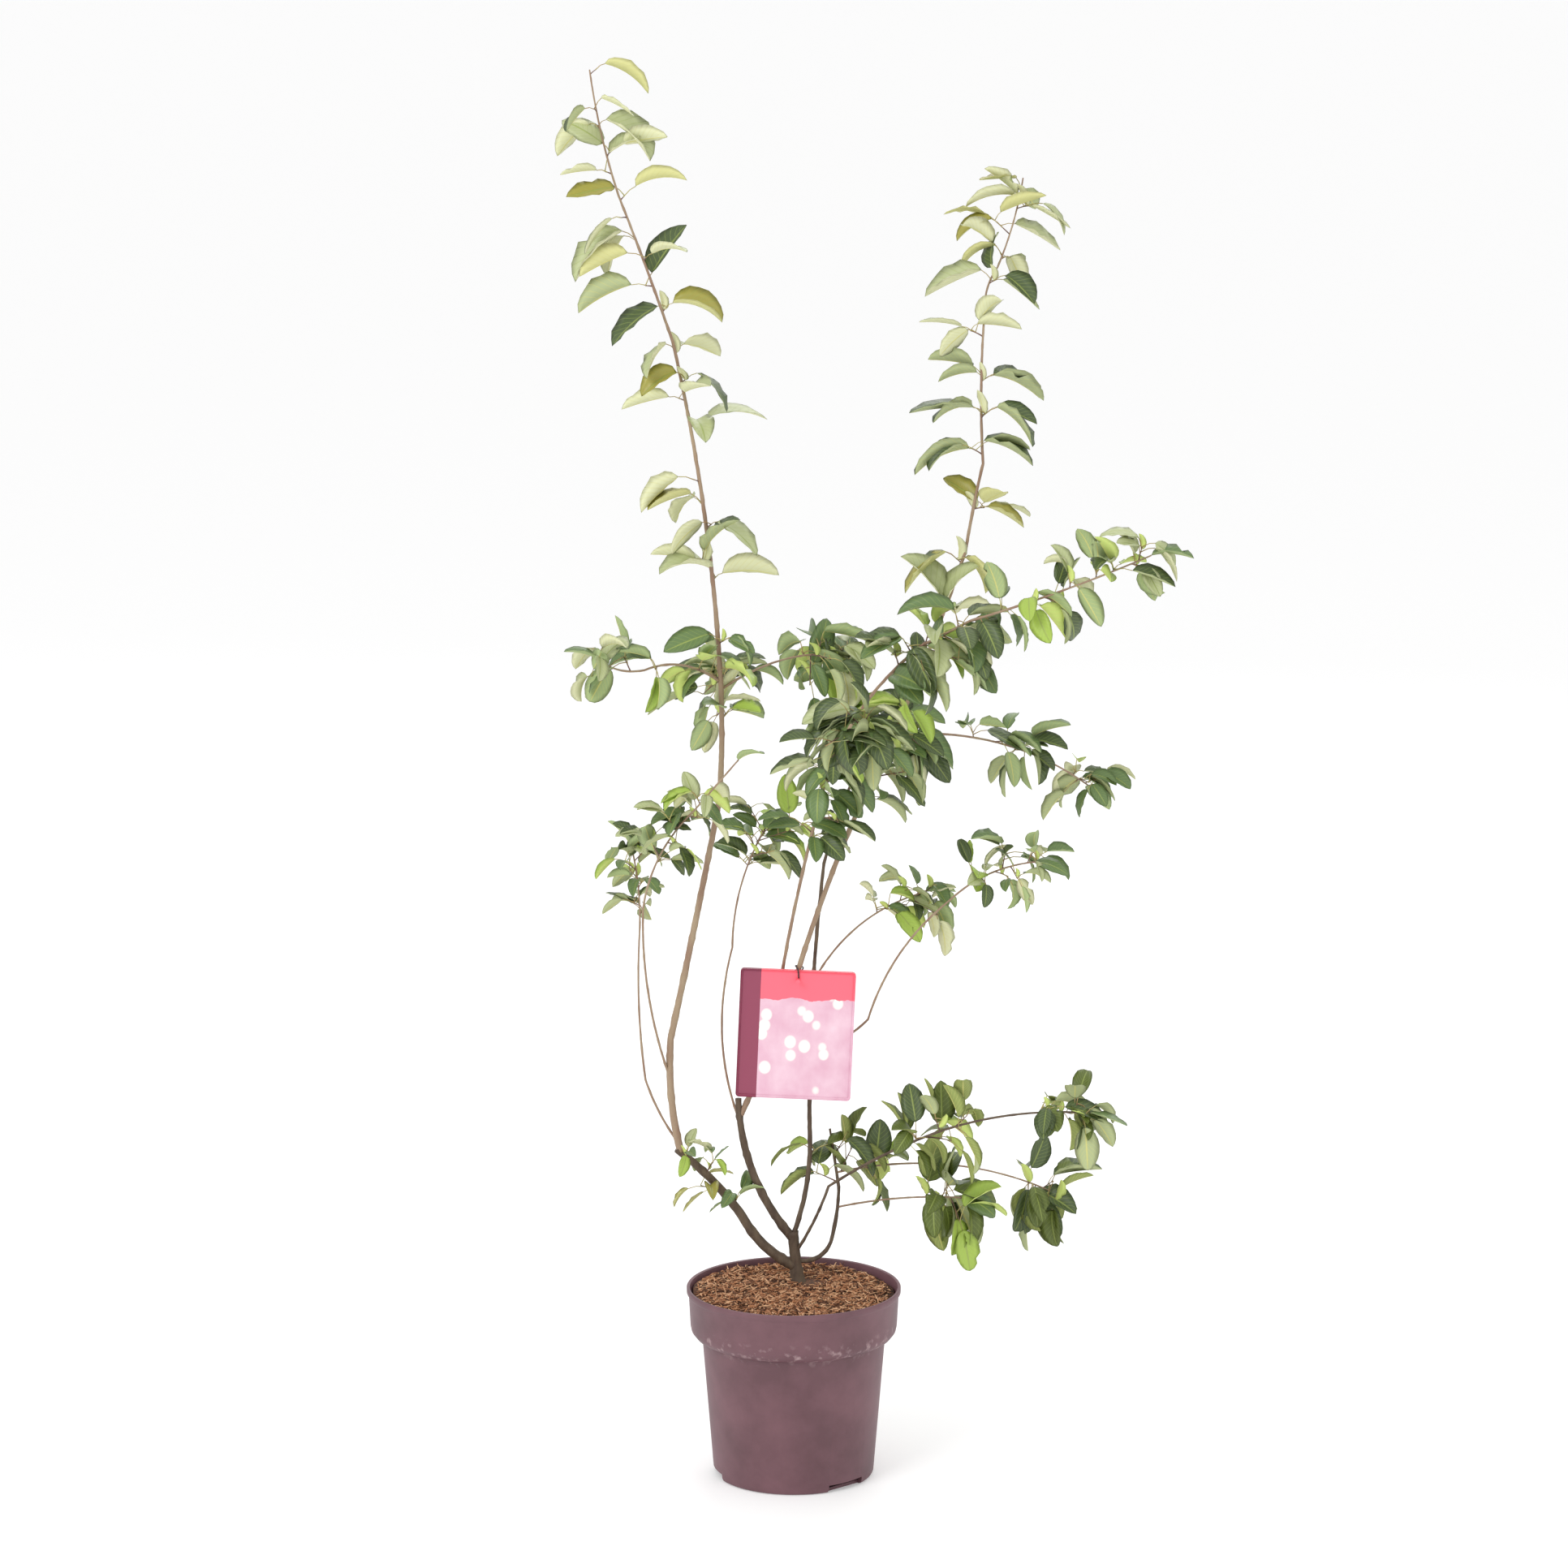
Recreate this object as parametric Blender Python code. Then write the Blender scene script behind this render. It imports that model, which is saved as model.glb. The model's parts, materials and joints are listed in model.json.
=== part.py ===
"""Potted snowy mespilus: a many-stemmed shrub with its leaf masses, label and plum nursery pot.

Metres, +Z up. The origin is the centre of the pot's flat underside. +X is the plant's right
hand side as it faces the viewer, and -Y is towards the viewer.
"""

import math
from collections import namedtuple

import bmesh
import bpy
from mathutils import Vector, noise

GAP = 0.0003  # clearance kept between pieces that touch
CUT_GAP = 0.0004  # clearance of a round cutter, a little more because its sides are flat

# Pot: a 7 litre round nursery pot with a deep collar and three notches in its foot
RIM_RADIUS = 0.120
RIM_HEIGHT = 0.216
BEAD_DROP = 0.006
COLLAR_TOP_RADIUS = 0.1178
COLLAR_LOW_RADIUS = 0.1158
COLLAR_LOW_HEIGHT = 0.172
BODY_TOP_RADIUS = 0.1025
BODY_TOP_HEIGHT = 0.157
BASE_RADIUS = 0.0897
BASE_ROUND = 0.004
BASE_BEVEL = 0.3  # where the base's rounding turns, as a share of it
COLLAR_UNDER_OUT = 0.008  # the collar's underside: out and up from the body
COLLAR_UNDER_UP = 0.005
BEAD_BLEND = 0.003  # the slope that carries the rim's bead
LIP_ROUND = 0.001
WALL = 0.0024
FLOOR = 0.0035
POT_SEGMENTS = 36
NOTCH_ANGLES = (41.5, 161.5, -78.5)  # degrees, from the front towards the right
NOTCH_WIDTH = 31.0  # degrees
NOTCH_HEIGHT = 0.009
NOTCH_DEPTH = 0.010
NOTCH_STEPS = 4
CUT_BELOW = 0.01  # how far a cutter runs past the face it opens

# Growing medium: shredded bark, mounded a little to the back left
SOIL_DEPTH_BELOW_RIM = 0.006
SOIL_TILT = (-0.020, 0.015)  # rise per metre towards +X and +Y
SOIL_UNEVEN = 0.004
SOIL_LUMPS = 28  # lumps per metre
SOIL_SEED = 4.2
SOIL_RINGS = (0.035, 0.065, 0.092)
HOLLOW_RADIUS = 0.019  # the dip that the trunk stands in
HOLLOW_FLARE = 1.5
HOLLOW_HEIGHT = 0.04

# Trunk: stands behind the pot's middle and leans slightly to the left
TRUNK_FOOT = Vector((0.005, 0.045, 0.2013))
TRUNK_FORK = Vector((-0.001, 0.045, 0.266))
TRUNK_RADIUS = 0.0062
FLARE_RADIUS = 0.0118
FLARE_HEIGHT = 0.030

# Label: a square card hung on the middle stem
CARD_WIDTH = 0.128
CARD_HEIGHT = 0.146
CARD_THICKNESS = 0.0010
CARD_TOP_MIDDLE = Vector((0.0052, 0.0088, 0.5755))
CARD_TURN = 2.5  # degrees, clockwise seen from the front
CARD_HOLE_RADIUS = 0.0024
CARD_HOLE_DROP = 0.011
TIE_RADIUS = 0.0009
TIE_OFF_CARD = 1.3  # how far the tie's middle keeps off the card, in its own radii
TIE_OFF_STEM = 1.6
TIE_BEND_DROP = 0.004
TIE_SLANT = 0.0012
TIE_SIDES = 5
TIE_STEPS = 2
TIE_WRAP = ((195, 0), (145, 0.0004), (90, 0.0010), (35, 0.0018), (-15, 0.0028))  # degrees, drop

RING_SPACING = 0.050  # between the rings of a limb's surface
STOUT_RADIUS = 0.0030  # limbs thicker than this get more sides
STOUT_SIDES = 8
SLIM_SIDES = 6
MASS_SIDES = 10
MASS_RINGS = 6
UNEVEN = 0.42  # how far a leaf mass departs from a plain egg shape
LUMP_SIZE = 1.6
SEED_STEP = 3.7
LUMP_MARGIN = 1.35  # a mass's lumps reach this far past its half sizes at most
OLD_BARK_TOP = 0.4  # limbs that spring below this height have old bark

# A limb springs from its parent at a fraction of the parent's length. Each leg goes to its own
# end, with the middle of the leg carried off the straight line by its bow.
Leg = namedtuple("Leg", "end bow")
Limb = namedtuple("Limb", "name parent along thick thin legs")

LIMBS = (
    Limb("left_stem", "trunk", 0.36, 0.0060, 0.0042, (
        Leg((-0.058, 0.034, 0.287), (-0.005, 0, -0.005)),
        Leg((-0.131, 0.020, 0.368), (0.003, 0, 0.003)),
    )),
    Limb("left_leader_lower", "left_stem", 0.97, 0.0042, 0.0027, (
        Leg((-0.137, 0.010, 0.497), (-0.005, 0, 0)),
        Leg((-0.082, -0.010, 0.770), (0.001, 0, 0)),
        Leg((-0.080, -0.020, 0.906), (0.002, 0, 0)),
    )),
    Limb("left_leader_upper", "left_leader_lower", 0.99, 0.0027, 0.0008, (
        Leg((-0.130, -0.050, 1.277), (0.008, 0, 0.001)),
        Leg((-0.186, -0.078, 1.434), (0.001, 0, 0)),
        Leg((-0.215, -0.100, 1.567), (-0.003, 0, -0.001)),
    )),
    Limb("middle_stem", "trunk", 0.86, 0.0052, 0.0036, (
        Leg((-0.062, 0.029, 0.424), (-0.014, 0, -0.006)),
    )),
    Limb("right_leader_lower", "middle_stem", 0.88, 0.0032, 0.0025, (
        Leg((0.005, 0.016, 0.574), (0.003, 0, -0.002)),
        Leg((0.094, 0.035, 0.802), (-0.004, 0, 0.002)),
    )),
    Limb("right_leader_upper", "right_leader_lower", 0.99, 0.0025, 0.0008, (
        Leg((0.190, 0.075, 1.036), (0.004, 0, -0.001)),
        Leg((0.209, 0.091, 1.130), (-0.001, 0, 0)),
        Leg((0.211, 0.120, 1.298), (-0.003, 0, 0)),
        Leg((0.225, 0.133, 1.343), (-0.004, 0, 0.001)),
        Leg((0.254, 0.162, 1.440), (0.003, 0, -0.001)),
    )),
    Limb("centre_stem", "right_leader_lower", 0.22, 0.0020, 0.0016, (
        Leg((-0.012, 0.027, 0.575), (0, 0, 0)),
        Leg((0.030, -0.030, 0.778), (-0.002, 0, 0)),
        Leg((0.141, -0.100, 0.959), (-0.015, 0, 0.009)),
    )),
    Limb("upper_right_branch", "centre_stem", 0.99, 0.0016, 0.0008, (
        Leg((0.188, -0.110, 0.984), (0, 0, 0)),
        Leg((0.378, -0.150, 1.060), (0.001, 0, -0.003)),
    )),
    Limb("right_stem", "trunk", 0.93, 0.0029, 0.0014, (
        Leg((0.018, 0.052, 0.380), (0.006, 0, 0)),
        Leg((0.034, 0.100, 0.678), (-0.005, 0, 0)),
        Leg((0.094, 0.165, 0.822), (-0.004, 0, 0.001)),
    )),
    Limb("outer_left_whip", "left_leader_lower", 0.02, 0.0014, 0.0009, (
        Leg((-0.166, 0.037, 0.444), (-0.003, 0, -0.001)),
        Leg((-0.173, 0.081, 0.603), (-0.004, 0, 0)),
        Leg((-0.181, 0.105, 0.690), (0.003, 0, 0)),
    )),
    Limb("inner_left_whip", "left_leader_lower", 0.16, 0.0014, 0.0009, (
        Leg((-0.165, -0.050, 0.658), (-0.009, 0, -0.001)),
        Leg((-0.108, -0.084, 0.773), (-0.009, 0, 0.005)),
        Leg((-0.060, -0.104, 0.832), (0, 0, 0)),
    )),
    Limb("centre_whip", "middle_stem", 0.84, 0.0014, 0.0009, (
        Leg((-0.069, 0.089, 0.584), (-0.016, 0, -0.002)),
        Leg((-0.032, 0.125, 0.713), (-0.009, 0, 0.002)),
    )),
    Limb("back_right_whip", "right_stem", 0.49, 0.0013, 0.0009, (
        Leg((0.149, 0.118, 0.642), (-0.010, 0, 0.014)),
    )),
    Limb("front_right_whip", "right_stem", 0.36, 0.0014, 0.0009, (
        Leg((0.083, 0.034, 0.514), (0.004, 0.006, -0.006)),
        Leg((0.170, -0.048, 0.666), (-0.010, 0.004, 0.006)),
        Leg((0.262, -0.092, 0.718), (-0.004, 0, 0.008)),
    )),
    Limb("low_right_bough", "trunk", 0.60, 0.0018, 0.0010, (
        Leg((0.039, 0.020, 0.325), (0.002, -0.004, -0.001)),
        Leg((0.165, -0.050, 0.408), (-0.002, 0, 0.004)),
        Leg((0.322, -0.120, 0.445), (-0.001, 0, 0.008)),
    )),
    Limb("back_shoot", "trunk", 0.47, 0.0026, 0.0013, (
        Leg((0.042, 0.054, 0.251), (0.005, 0, -0.007)),
        Leg((0.051, 0.067, 0.312), (0.002, 0, 0)),
        Leg((0.041, 0.082, 0.376), (0, 0, 0)),
    )),
    Limb("back_right_shoot", "back_shoot", 0.72, 0.0012, 0.0009, (
        Leg((0.300, 0.160, 0.280), (0.004, 0, 0.021)),
    )),
    Limb("low_right_shoot", "back_shoot", 0.50, 0.0012, 0.0009, (
        Leg((0.190, 0.020, 0.312), (0, 0, 0.005)),
    )),
    Limb("left_branch", "left_leader_lower", 0.995, 0.0016, 0.0009, (
        Leg((-0.162, -0.048, 0.921), (0, 0, 0.012)),
        Leg((-0.212, -0.066, 0.936), (-0.002, 0, -0.006)),
    )),
    Limb("node_branch", "left_leader_lower", 0.98, 0.0014, 0.0009, (
        Leg((0.050, 0.080, 0.918), (0, 0, 0.013)),
    )),
    Limb("middle_right_branch", "right_leader_upper", 0.06, 0.0015, 0.0009, (
        Leg((0.335, 0.185, 0.752), (0.007, 0, 0.020)),
    )),
    Limb("front_bough", "centre_stem", 0.78, 0.0014, 0.0009, (
        Leg((0.072, -0.195, 0.880), (0, 0, 0.008)),
    )),
    Limb("left_back_bough", "left_leader_lower", 0.93, 0.0014, 0.0009, (
        Leg((-0.080, 0.115, 0.885), (0, 0, 0.008)),
    )),
)

# A leaf mass sits on a limb at a fraction of the limb's length, moved off it by its shift. Its
# half sizes are along its own axis, across it from left to right, and in depth. The axis is the
# limb's own heading there, unless it is given.
Mass = namedtuple("Mass", "name limb along shift half seed axis")
UP = (0, 0, 1)
RIGHT = (1, 0, 0)

MASSES = (
    Mass("left_tip", "left_leader_upper", 0.895, (-0.002, 0, -0.002), (0.064, 0.058, 0.032), 1, None),
    Mass("left_high", "left_leader_upper", 0.685, (-0.002, 0, 0), (0.062, 0.070, 0.036), 2, None),
    Mass("left_upper", "left_leader_upper", 0.465, (-0.002, 0, 0), (0.060, 0.062, 0.038), 3, None),
    Mass("left_middle", "left_leader_upper", 0.245, (0, 0, 0), (0.062, 0.062, 0.038), 4, None),
    Mass("left_branch", "left_branch", 0.88, (0.002, 0, -0.014), (0.058, 0.052, 0.030), 5, RIGHT),
    Mass("left_node", "left_leader_lower", 0.99, (0.020, -0.012, 0.002), (0.052, 0.056, 0.034), 6, UP),
    Mass("left_back", "left_back_bough", 1.00, (0, 0.024, 0), (0.045, 0.050, 0.040), 7, UP),
    Mass("low_left", "left_stem", 0.72, (0.002, -0.006, 0.006), (0.040, 0.034, 0.030), 32, None),
    Mass("outer_whip", "outer_left_whip", 1.00, (0, 0.002, -0.008), (0.068, 0.032, 0.034), 8, UP),
    Mass("inner_whip", "inner_left_whip", 0.74, (-0.010, 0, 0.004), (0.060, 0.036, 0.032), 9, None),
    Mass("centre_whip", "centre_whip", 1.00, (0.004, 0.004, 0.014), (0.060, 0.050, 0.036), 10, UP),
    Mass("heart_back", "node_branch", 0.97, (-0.012, 0.006, -0.012), (0.052, 0.050, 0.038), 11, UP),
    Mass("heart_top", "centre_stem", 0.98, (0.022, -0.008, -0.022), (0.056, 0.070, 0.034), 12, UP),
    Mass("heart_middle", "right_leader_lower", 0.98, (0.014, 0.004, 0.010), (0.052, 0.050, 0.036), 13, UP),
    Mass("heart_low", "centre_stem", 0.60, (0, 0, -0.030), (0.058, 0.040, 0.034), 14, UP),
    Mass("heart_far", "right_stem", 1.00, (0, 0.022, 0.014), (0.048, 0.052, 0.040), 15, UP),
    Mass("heart_near", "front_bough", 1.00, (-0.014, -0.020, -0.004), (0.046, 0.060, 0.038), 16, UP),
    Mass("right_node", "right_leader_upper", 0.325, (0.002, 0, 0), (0.036, 0.058, 0.034), 17, None),
    Mass("right_middle", "right_leader_upper", 0.525, (0, 0, 0), (0.062, 0.078, 0.038), 18, None),
    Mass("right_upper", "right_leader_upper", 0.745, (-0.004, 0, 0), (0.060, 0.064, 0.038), 19, None),
    Mass("right_tip", "right_leader_upper", 0.935, (0, 0, 0), (0.050, 0.074, 0.034), 20, None),
    Mass("upper_branch", "upper_right_branch", 0.52, (0.006, 0, -0.018), (0.056, 0.046, 0.024), 21, RIGHT),
    Mass("upper_branch_end", "upper_right_branch", 0.97, (0.002, 0, 0), (0.060, 0.040, 0.026), 22, RIGHT),
    Mass("middle_branch", "middle_right_branch", 0.50, (0, 0, -0.012), (0.058, 0.042, 0.024), 23, RIGHT),
    Mass("middle_branch_end", "middle_right_branch", 1.00, (0.008, 0, -0.004), (0.056, 0.032, 0.026), 24, RIGHT),
    Mass("back_whip", "back_right_whip", 1.00, (0, 0.004, -0.030), (0.050, 0.050, 0.030), 25, UP),
    Mass("front_whip", "front_right_whip", 0.93, (-0.004, 0, -0.006), (0.070, 0.044, 0.026), 26, RIGHT),
    Mass("back_shoot", "back_shoot", 0.90, (0, 0.002, -0.006), (0.040, 0.066, 0.034), 27, UP),
    Mass("low_bough", "low_right_bough", 0.54, (0.008, 0, 0.008), (0.050, 0.048, 0.024), 28, UP),
    Mass("low_bough_end", "low_right_bough", 0.97, (0.002, 0, -0.008), (0.060, 0.032, 0.024), 29, RIGHT),
    Mass("low_shoot", "low_right_shoot", 1.00, (0.004, 0, -0.016), (0.048, 0.056, 0.026), 30, UP),
    Mass("back_right", "back_right_shoot", 1.00, (0.006, 0, -0.028), (0.052, 0.056, 0.026), 31, RIGHT),
)

PLUM = (0.105, 0.052, 0.068, 1.0)
BARK_MULCH = (0.300, 0.155, 0.078, 1.0)
OLD_BARK = (0.085, 0.060, 0.042, 1.0)
YOUNG_BARK = (0.260, 0.190, 0.130, 1.0)
LEAF_GREEN = (0.160, 0.240, 0.070, 1.0)
CARD_PINK = (0.640, 0.330, 0.450, 1.0)
TIE_BROWN = (0.060, 0.030, 0.035, 1.0)


def clear_scene():
    for item in list(bpy.data.objects):
        bpy.data.objects.remove(item, do_unlink=True)


def finish(name, bm, colour, roughness):
    """Turn a bmesh into a named object with its own plain material."""
    bm.normal_update()
    bmesh.ops.recalc_face_normals(bm, faces=bm.faces)
    mesh = bpy.data.meshes.new(name)
    bm.to_mesh(mesh)
    bm.free()
    mesh.shade_smooth()
    mesh.set_sharp_from_angle(angle=math.radians(40))
    item = bpy.data.objects.new(name, mesh)
    bpy.context.scene.collection.objects.link(item)
    material = bpy.data.materials.new(name)
    material.use_nodes = True
    shader = material.node_tree.nodes["Principled BSDF"]
    shader.inputs["Base Color"].default_value = colour
    shader.inputs["Roughness"].default_value = roughness
    shader.inputs["Metallic"].default_value = 0.0
    mesh.materials.append(material)
    return item


def cutter(name, bm):
    """A hidden object that only cuts others."""
    item = finish(name, bm, TIE_BROWN, 1.0)
    item.hide_render = True
    item.display_type = "WIRE"
    return item


def carve(item, tool):
    cut = item.modifiers.new(tool.name, "BOOLEAN")
    cut.operation = "DIFFERENCE"
    cut.solver = "EXACT"
    cut.object = tool


def turned(profile, segments=POT_SEGMENTS):
    """Turn (radius, height) points, bottom to top along the outside, into a closed solid."""
    bm = bmesh.new()
    rings = []
    for radius, height in profile:
        rings.append([
            bm.verts.new((
                radius * math.cos(math.tau * i / segments),
                radius * math.sin(math.tau * i / segments),
                height,
            ))
            for i in range(segments)
        ])
    for low, high in zip(rings, rings[1:]):
        for i in range(segments):
            j = (i + 1) % segments
            bm.faces.new((low[i], low[j], high[j], high[i]))
    bm.faces.new(list(reversed(rings[0])))
    bm.faces.new(rings[-1])
    return bm


def foot_block(angle, grow):
    """A block that notches the pot's foot, as a wedge of a ring. Angle runs from the front."""
    bm = bmesh.new()
    middle = math.radians(angle - 90)
    half = math.radians(NOTCH_WIDTH / 2) + grow / BASE_RADIUS
    inner = BASE_RADIUS - NOTCH_DEPTH - grow
    columns = []
    for i in range(NOTCH_STEPS + 1):
        turn = middle - half + 2 * half * i / NOTCH_STEPS
        columns.append([
            bm.verts.new((radius * math.cos(turn), radius * math.sin(turn), height))
            for radius, height in (
                (inner, -CUT_BELOW),
                (RIM_RADIUS, -CUT_BELOW),
                (RIM_RADIUS, NOTCH_HEIGHT + grow),
                (inner, NOTCH_HEIGHT + grow),
            )
        ])
    for a, b in zip(columns, columns[1:]):
        for i in range(4):
            j = (i + 1) % 4
            bm.faces.new((a[i], a[j], b[j], b[i]))
    bm.faces.new(columns[0])
    bm.faces.new(list(reversed(columns[-1])))
    return bm


def body_radius(height):
    """The body's outer radius at a height below the collar."""
    share = height / BODY_TOP_HEIGHT
    return BASE_RADIUS + (BODY_TOP_RADIUS - BASE_RADIUS) * share


def collar_inside(height):
    """The collar's inner radius, which widens a little towards the rim."""
    share = (height - COLLAR_LOW_HEIGHT) / (RIM_HEIGHT - COLLAR_LOW_HEIGHT)
    return COLLAR_LOW_RADIUS - WALL + (COLLAR_TOP_RADIUS - COLLAR_LOW_RADIUS) * share


def pot_cavity(inset, top):
    """The hollow's profile, drawn in from the wall's inner face by inset, up to a height."""
    floor = FLOOR + inset
    shoulder = BODY_TOP_HEIGHT + WALL
    collar = COLLAR_LOW_HEIGHT + WALL * 0.5
    return (
        (body_radius(floor) - WALL - BASE_ROUND - inset, floor),
        (body_radius(floor + BASE_ROUND) - WALL - inset, floor + BASE_ROUND),
        (BODY_TOP_RADIUS - WALL - inset, shoulder + inset),
        (collar_inside(collar) - inset, collar + inset),
        (collar_inside(top) - inset, top),
    )


def make_pot():
    pot = finish("pot", turned((
        (BASE_RADIUS - BASE_ROUND, 0.0),
        (BASE_RADIUS - BASE_ROUND * BASE_BEVEL, BASE_ROUND * BASE_BEVEL),
        (body_radius(BASE_ROUND), BASE_ROUND),
        (BODY_TOP_RADIUS, BODY_TOP_HEIGHT),
        (BODY_TOP_RADIUS + COLLAR_UNDER_OUT, BODY_TOP_HEIGHT + COLLAR_UNDER_UP),
        (COLLAR_LOW_RADIUS, COLLAR_LOW_HEIGHT),
        (COLLAR_TOP_RADIUS, RIM_HEIGHT - BEAD_DROP - BEAD_BLEND),
        (RIM_RADIUS, RIM_HEIGHT - BEAD_DROP),
        (RIM_RADIUS, RIM_HEIGHT - LIP_ROUND),
        (RIM_RADIUS - LIP_ROUND, RIM_HEIGHT),
    )), PLUM, 0.55)
    hollow = cutter("cut_hollow", turned(pot_cavity(0.0, RIM_HEIGHT + CUT_BELOW)))
    for number, angle in enumerate(NOTCH_ANGLES):
        wide = cutter(f"cut_wide_{number}", foot_block(angle, WALL))
        carve(hollow, wide)
    carve(pot, hollow)
    for number, angle in enumerate(NOTCH_ANGLES):
        carve(pot, cutter(f"cut_notch_{number}", foot_block(angle, 0.0)))
    return pot


def soil_height(x, y):
    """Height of the mulch's top, which rises a little to the back left."""
    swell = noise.noise(Vector((x * SOIL_LUMPS, y * SOIL_LUMPS, SOIL_SEED))) * SOIL_UNEVEN
    level = RIM_HEIGHT - SOIL_DEPTH_BELOW_RIM
    return level + x * SOIL_TILT[0] + y * SOIL_TILT[1] + swell


def make_root_ball():
    wall_top = RIM_HEIGHT - SOIL_DEPTH_BELOW_RIM
    bm = turned(pot_cavity(GAP, wall_top))
    top = max(bm.faces, key=lambda face: face.calc_center_median().z)
    edge = list(top.verts)
    bm.faces.remove(top)
    edge.sort(key=lambda vert: math.atan2(vert.co.y, vert.co.x))
    for vert in edge:
        height = soil_height(vert.co.x, vert.co.y)
        vert.co *= (collar_inside(height) - GAP) / vert.co.xy.length
        vert.co.z = height
    outer = edge
    for radius in reversed(SOIL_RINGS):
        inner = []
        for vert in edge:
            turn = math.atan2(vert.co.y, vert.co.x)
            x = radius * math.cos(turn)
            y = radius * math.sin(turn)
            inner.append(bm.verts.new((x, y, soil_height(x, y))))
        for i in range(len(edge)):
            j = (i + 1) % len(edge)
            bm.faces.new((outer[i], outer[j], inner[j]))
            bm.faces.new((outer[i], inner[j], inner[i]))
        outer = inner
    middle = bm.verts.new((0, 0, soil_height(0, 0)))
    for i in range(len(outer)):
        bm.faces.new((outer[i], outer[(i + 1) % len(outer)], middle))
    ball = finish("root_ball", bm, BARK_MULCH, 0.95)
    for number, angle in enumerate(NOTCH_ANGLES):
        carve(ball, cutter(f"cut_ball_{number}", foot_block(angle, WALL + GAP)))
    hollow = bmesh.new()
    bmesh.ops.create_cone(
        hollow, cap_ends=True, segments=16, radius1=HOLLOW_RADIUS,
        radius2=HOLLOW_RADIUS * HOLLOW_FLARE, depth=HOLLOW_HEIGHT,
    )
    middle = TRUNK_FOOT + Vector((0, 0, HOLLOW_HEIGHT / 2 - GAP))
    bmesh.ops.translate(hollow, verts=hollow.verts, vec=middle)
    carve(ball, cutter("cut_trunk_hollow", hollow))
    return ball


def tube(points, radii, sides, level_foot=False):
    """A closed round limb through the points, with flat ends, and its foot cut level if asked."""
    bm = bmesh.new()
    rings = []
    side = Vector((0.93, 0.31, 0.17))  # any way that no limb runs; carried along without twisting
    for i, point in enumerate(points):
        before = points[max(i - 1, 0)]
        after = points[min(i + 1, len(points) - 1)]
        heading = (after - before).normalized()
        side = (side - heading * side.dot(heading)).normalized()
        other = heading.cross(side)
        rings.append([
            bm.verts.new(
                point
                + side * radii[i] * math.cos(math.tau * k / sides)
                + other * radii[i] * math.sin(math.tau * k / sides)
            )
            for k in range(sides)
        ])
    if level_foot:
        for vert in rings[0]:
            vert.co.z = points[0].z
    for low, high in zip(rings, rings[1:]):
        for i in range(sides):
            j = (i + 1) % sides
            bm.faces.new((low[i], low[j], high[j], high[i]))
    bm.faces.new(list(reversed(rings[0])))
    bm.faces.new(rings[-1])
    return bm


def leg_points(start, leg):
    """Points from start to the leg's end, bowed off the straight line in the middle."""
    end, bow = Vector(leg.end), Vector(leg.bow)
    steps = max(2, round((end - start).length / RING_SPACING))
    return [
        start.lerp(end, i / steps) + bow * (4 * i / steps * (1 - i / steps))
        for i in range(1, steps + 1)
    ]


def place_on(line, along):
    """The point and heading at a fraction of a line's length."""
    lengths = [(b - a).length for a, b in zip(line, line[1:])]
    left = along * sum(lengths)
    for a, b, length in zip(line, line[1:], lengths):
        if left <= length or b is line[-1]:
            return a.lerp(b, left / length), (b - a).normalized()
        left -= length


def trunk_line():
    steps = 5
    points = [TRUNK_FOOT.lerp(TRUNK_FORK, i / steps) for i in range(steps + 1)]
    height = TRUNK_FORK.z - TRUNK_FOOT.z
    radii = []
    for i in range(steps + 1):
        rise = height * i / steps
        flare = max(0.0, 1 - rise / FLARE_HEIGHT) ** 2
        radii.append(TRUNK_RADIUS + (FLARE_RADIUS - TRUNK_RADIUS) * flare)
    return points, radii


def limb_lines():
    """The middle line and radii of the trunk and of each limb, by name."""
    lines = {"trunk": trunk_line()}
    for limb in LIMBS:
        start, _ = place_on(lines[limb.parent][0], limb.along)
        points = [start]
        for leg in limb.legs:
            points += leg_points(points[-1], leg)
        last = len(points) - 1
        radii = [limb.thick + (limb.thin - limb.thick) * i / last for i in range(last + 1)]
        lines[limb.name] = (points, radii)
    return lines


def close(line_a, line_b):
    """Whether two limbs come within touching distance."""
    for a, radius_a in zip(*dense(line_a)):
        for b, radius_b in zip(*dense(line_b)):
            if (a - b).length < radius_a + radius_b + CUT_GAP * 2:
                return True
    return False


def dense(line):
    """More points along a line, for testing what it comes close to."""
    points, radii = line
    out_points, out_radii = [], []
    for a, b, ra, rb in zip(points, points[1:], radii, radii[1:]):
        for i in range(6):
            out_points.append(a.lerp(b, i / 6))
            out_radii.append(ra + (rb - ra) * i / 6)
    return out_points + [points[-1]], out_radii + [radii[-1]]


def grown(line):
    """The limb's line made thicker and a little longer at its tip, to cut clearance for it."""
    points, radii = line
    heading = (points[-1] - points[-2]).normalized()
    longer = points[:-1] + [points[-1] + heading * CUT_GAP * 2]
    return longer, [radius + CUT_GAP for radius in radii]


def sides_of(radii):
    return STOUT_SIDES if max(radii) > STOUT_RADIUS else SLIM_SIDES


def make_limbs(lines):
    """Trunk first, then each limb, cut clear of those before it that it touches."""
    tools = {}
    for name, line in lines.items():
        colour = OLD_BARK if line[0][0].z < OLD_BARK_TOP else YOUNG_BARK
        limb = finish(name, tube(*line, sides_of(line[1]), name == "trunk"), colour, 0.8)
        for earlier, tool in tools.items():
            if close(line, lines[earlier]):
                carve(limb, tool)
        points, radii = grown(line)
        tools[name] = cutter(f"cut_{name}", tube(points, radii, sides_of(radii)))
    return tools


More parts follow.
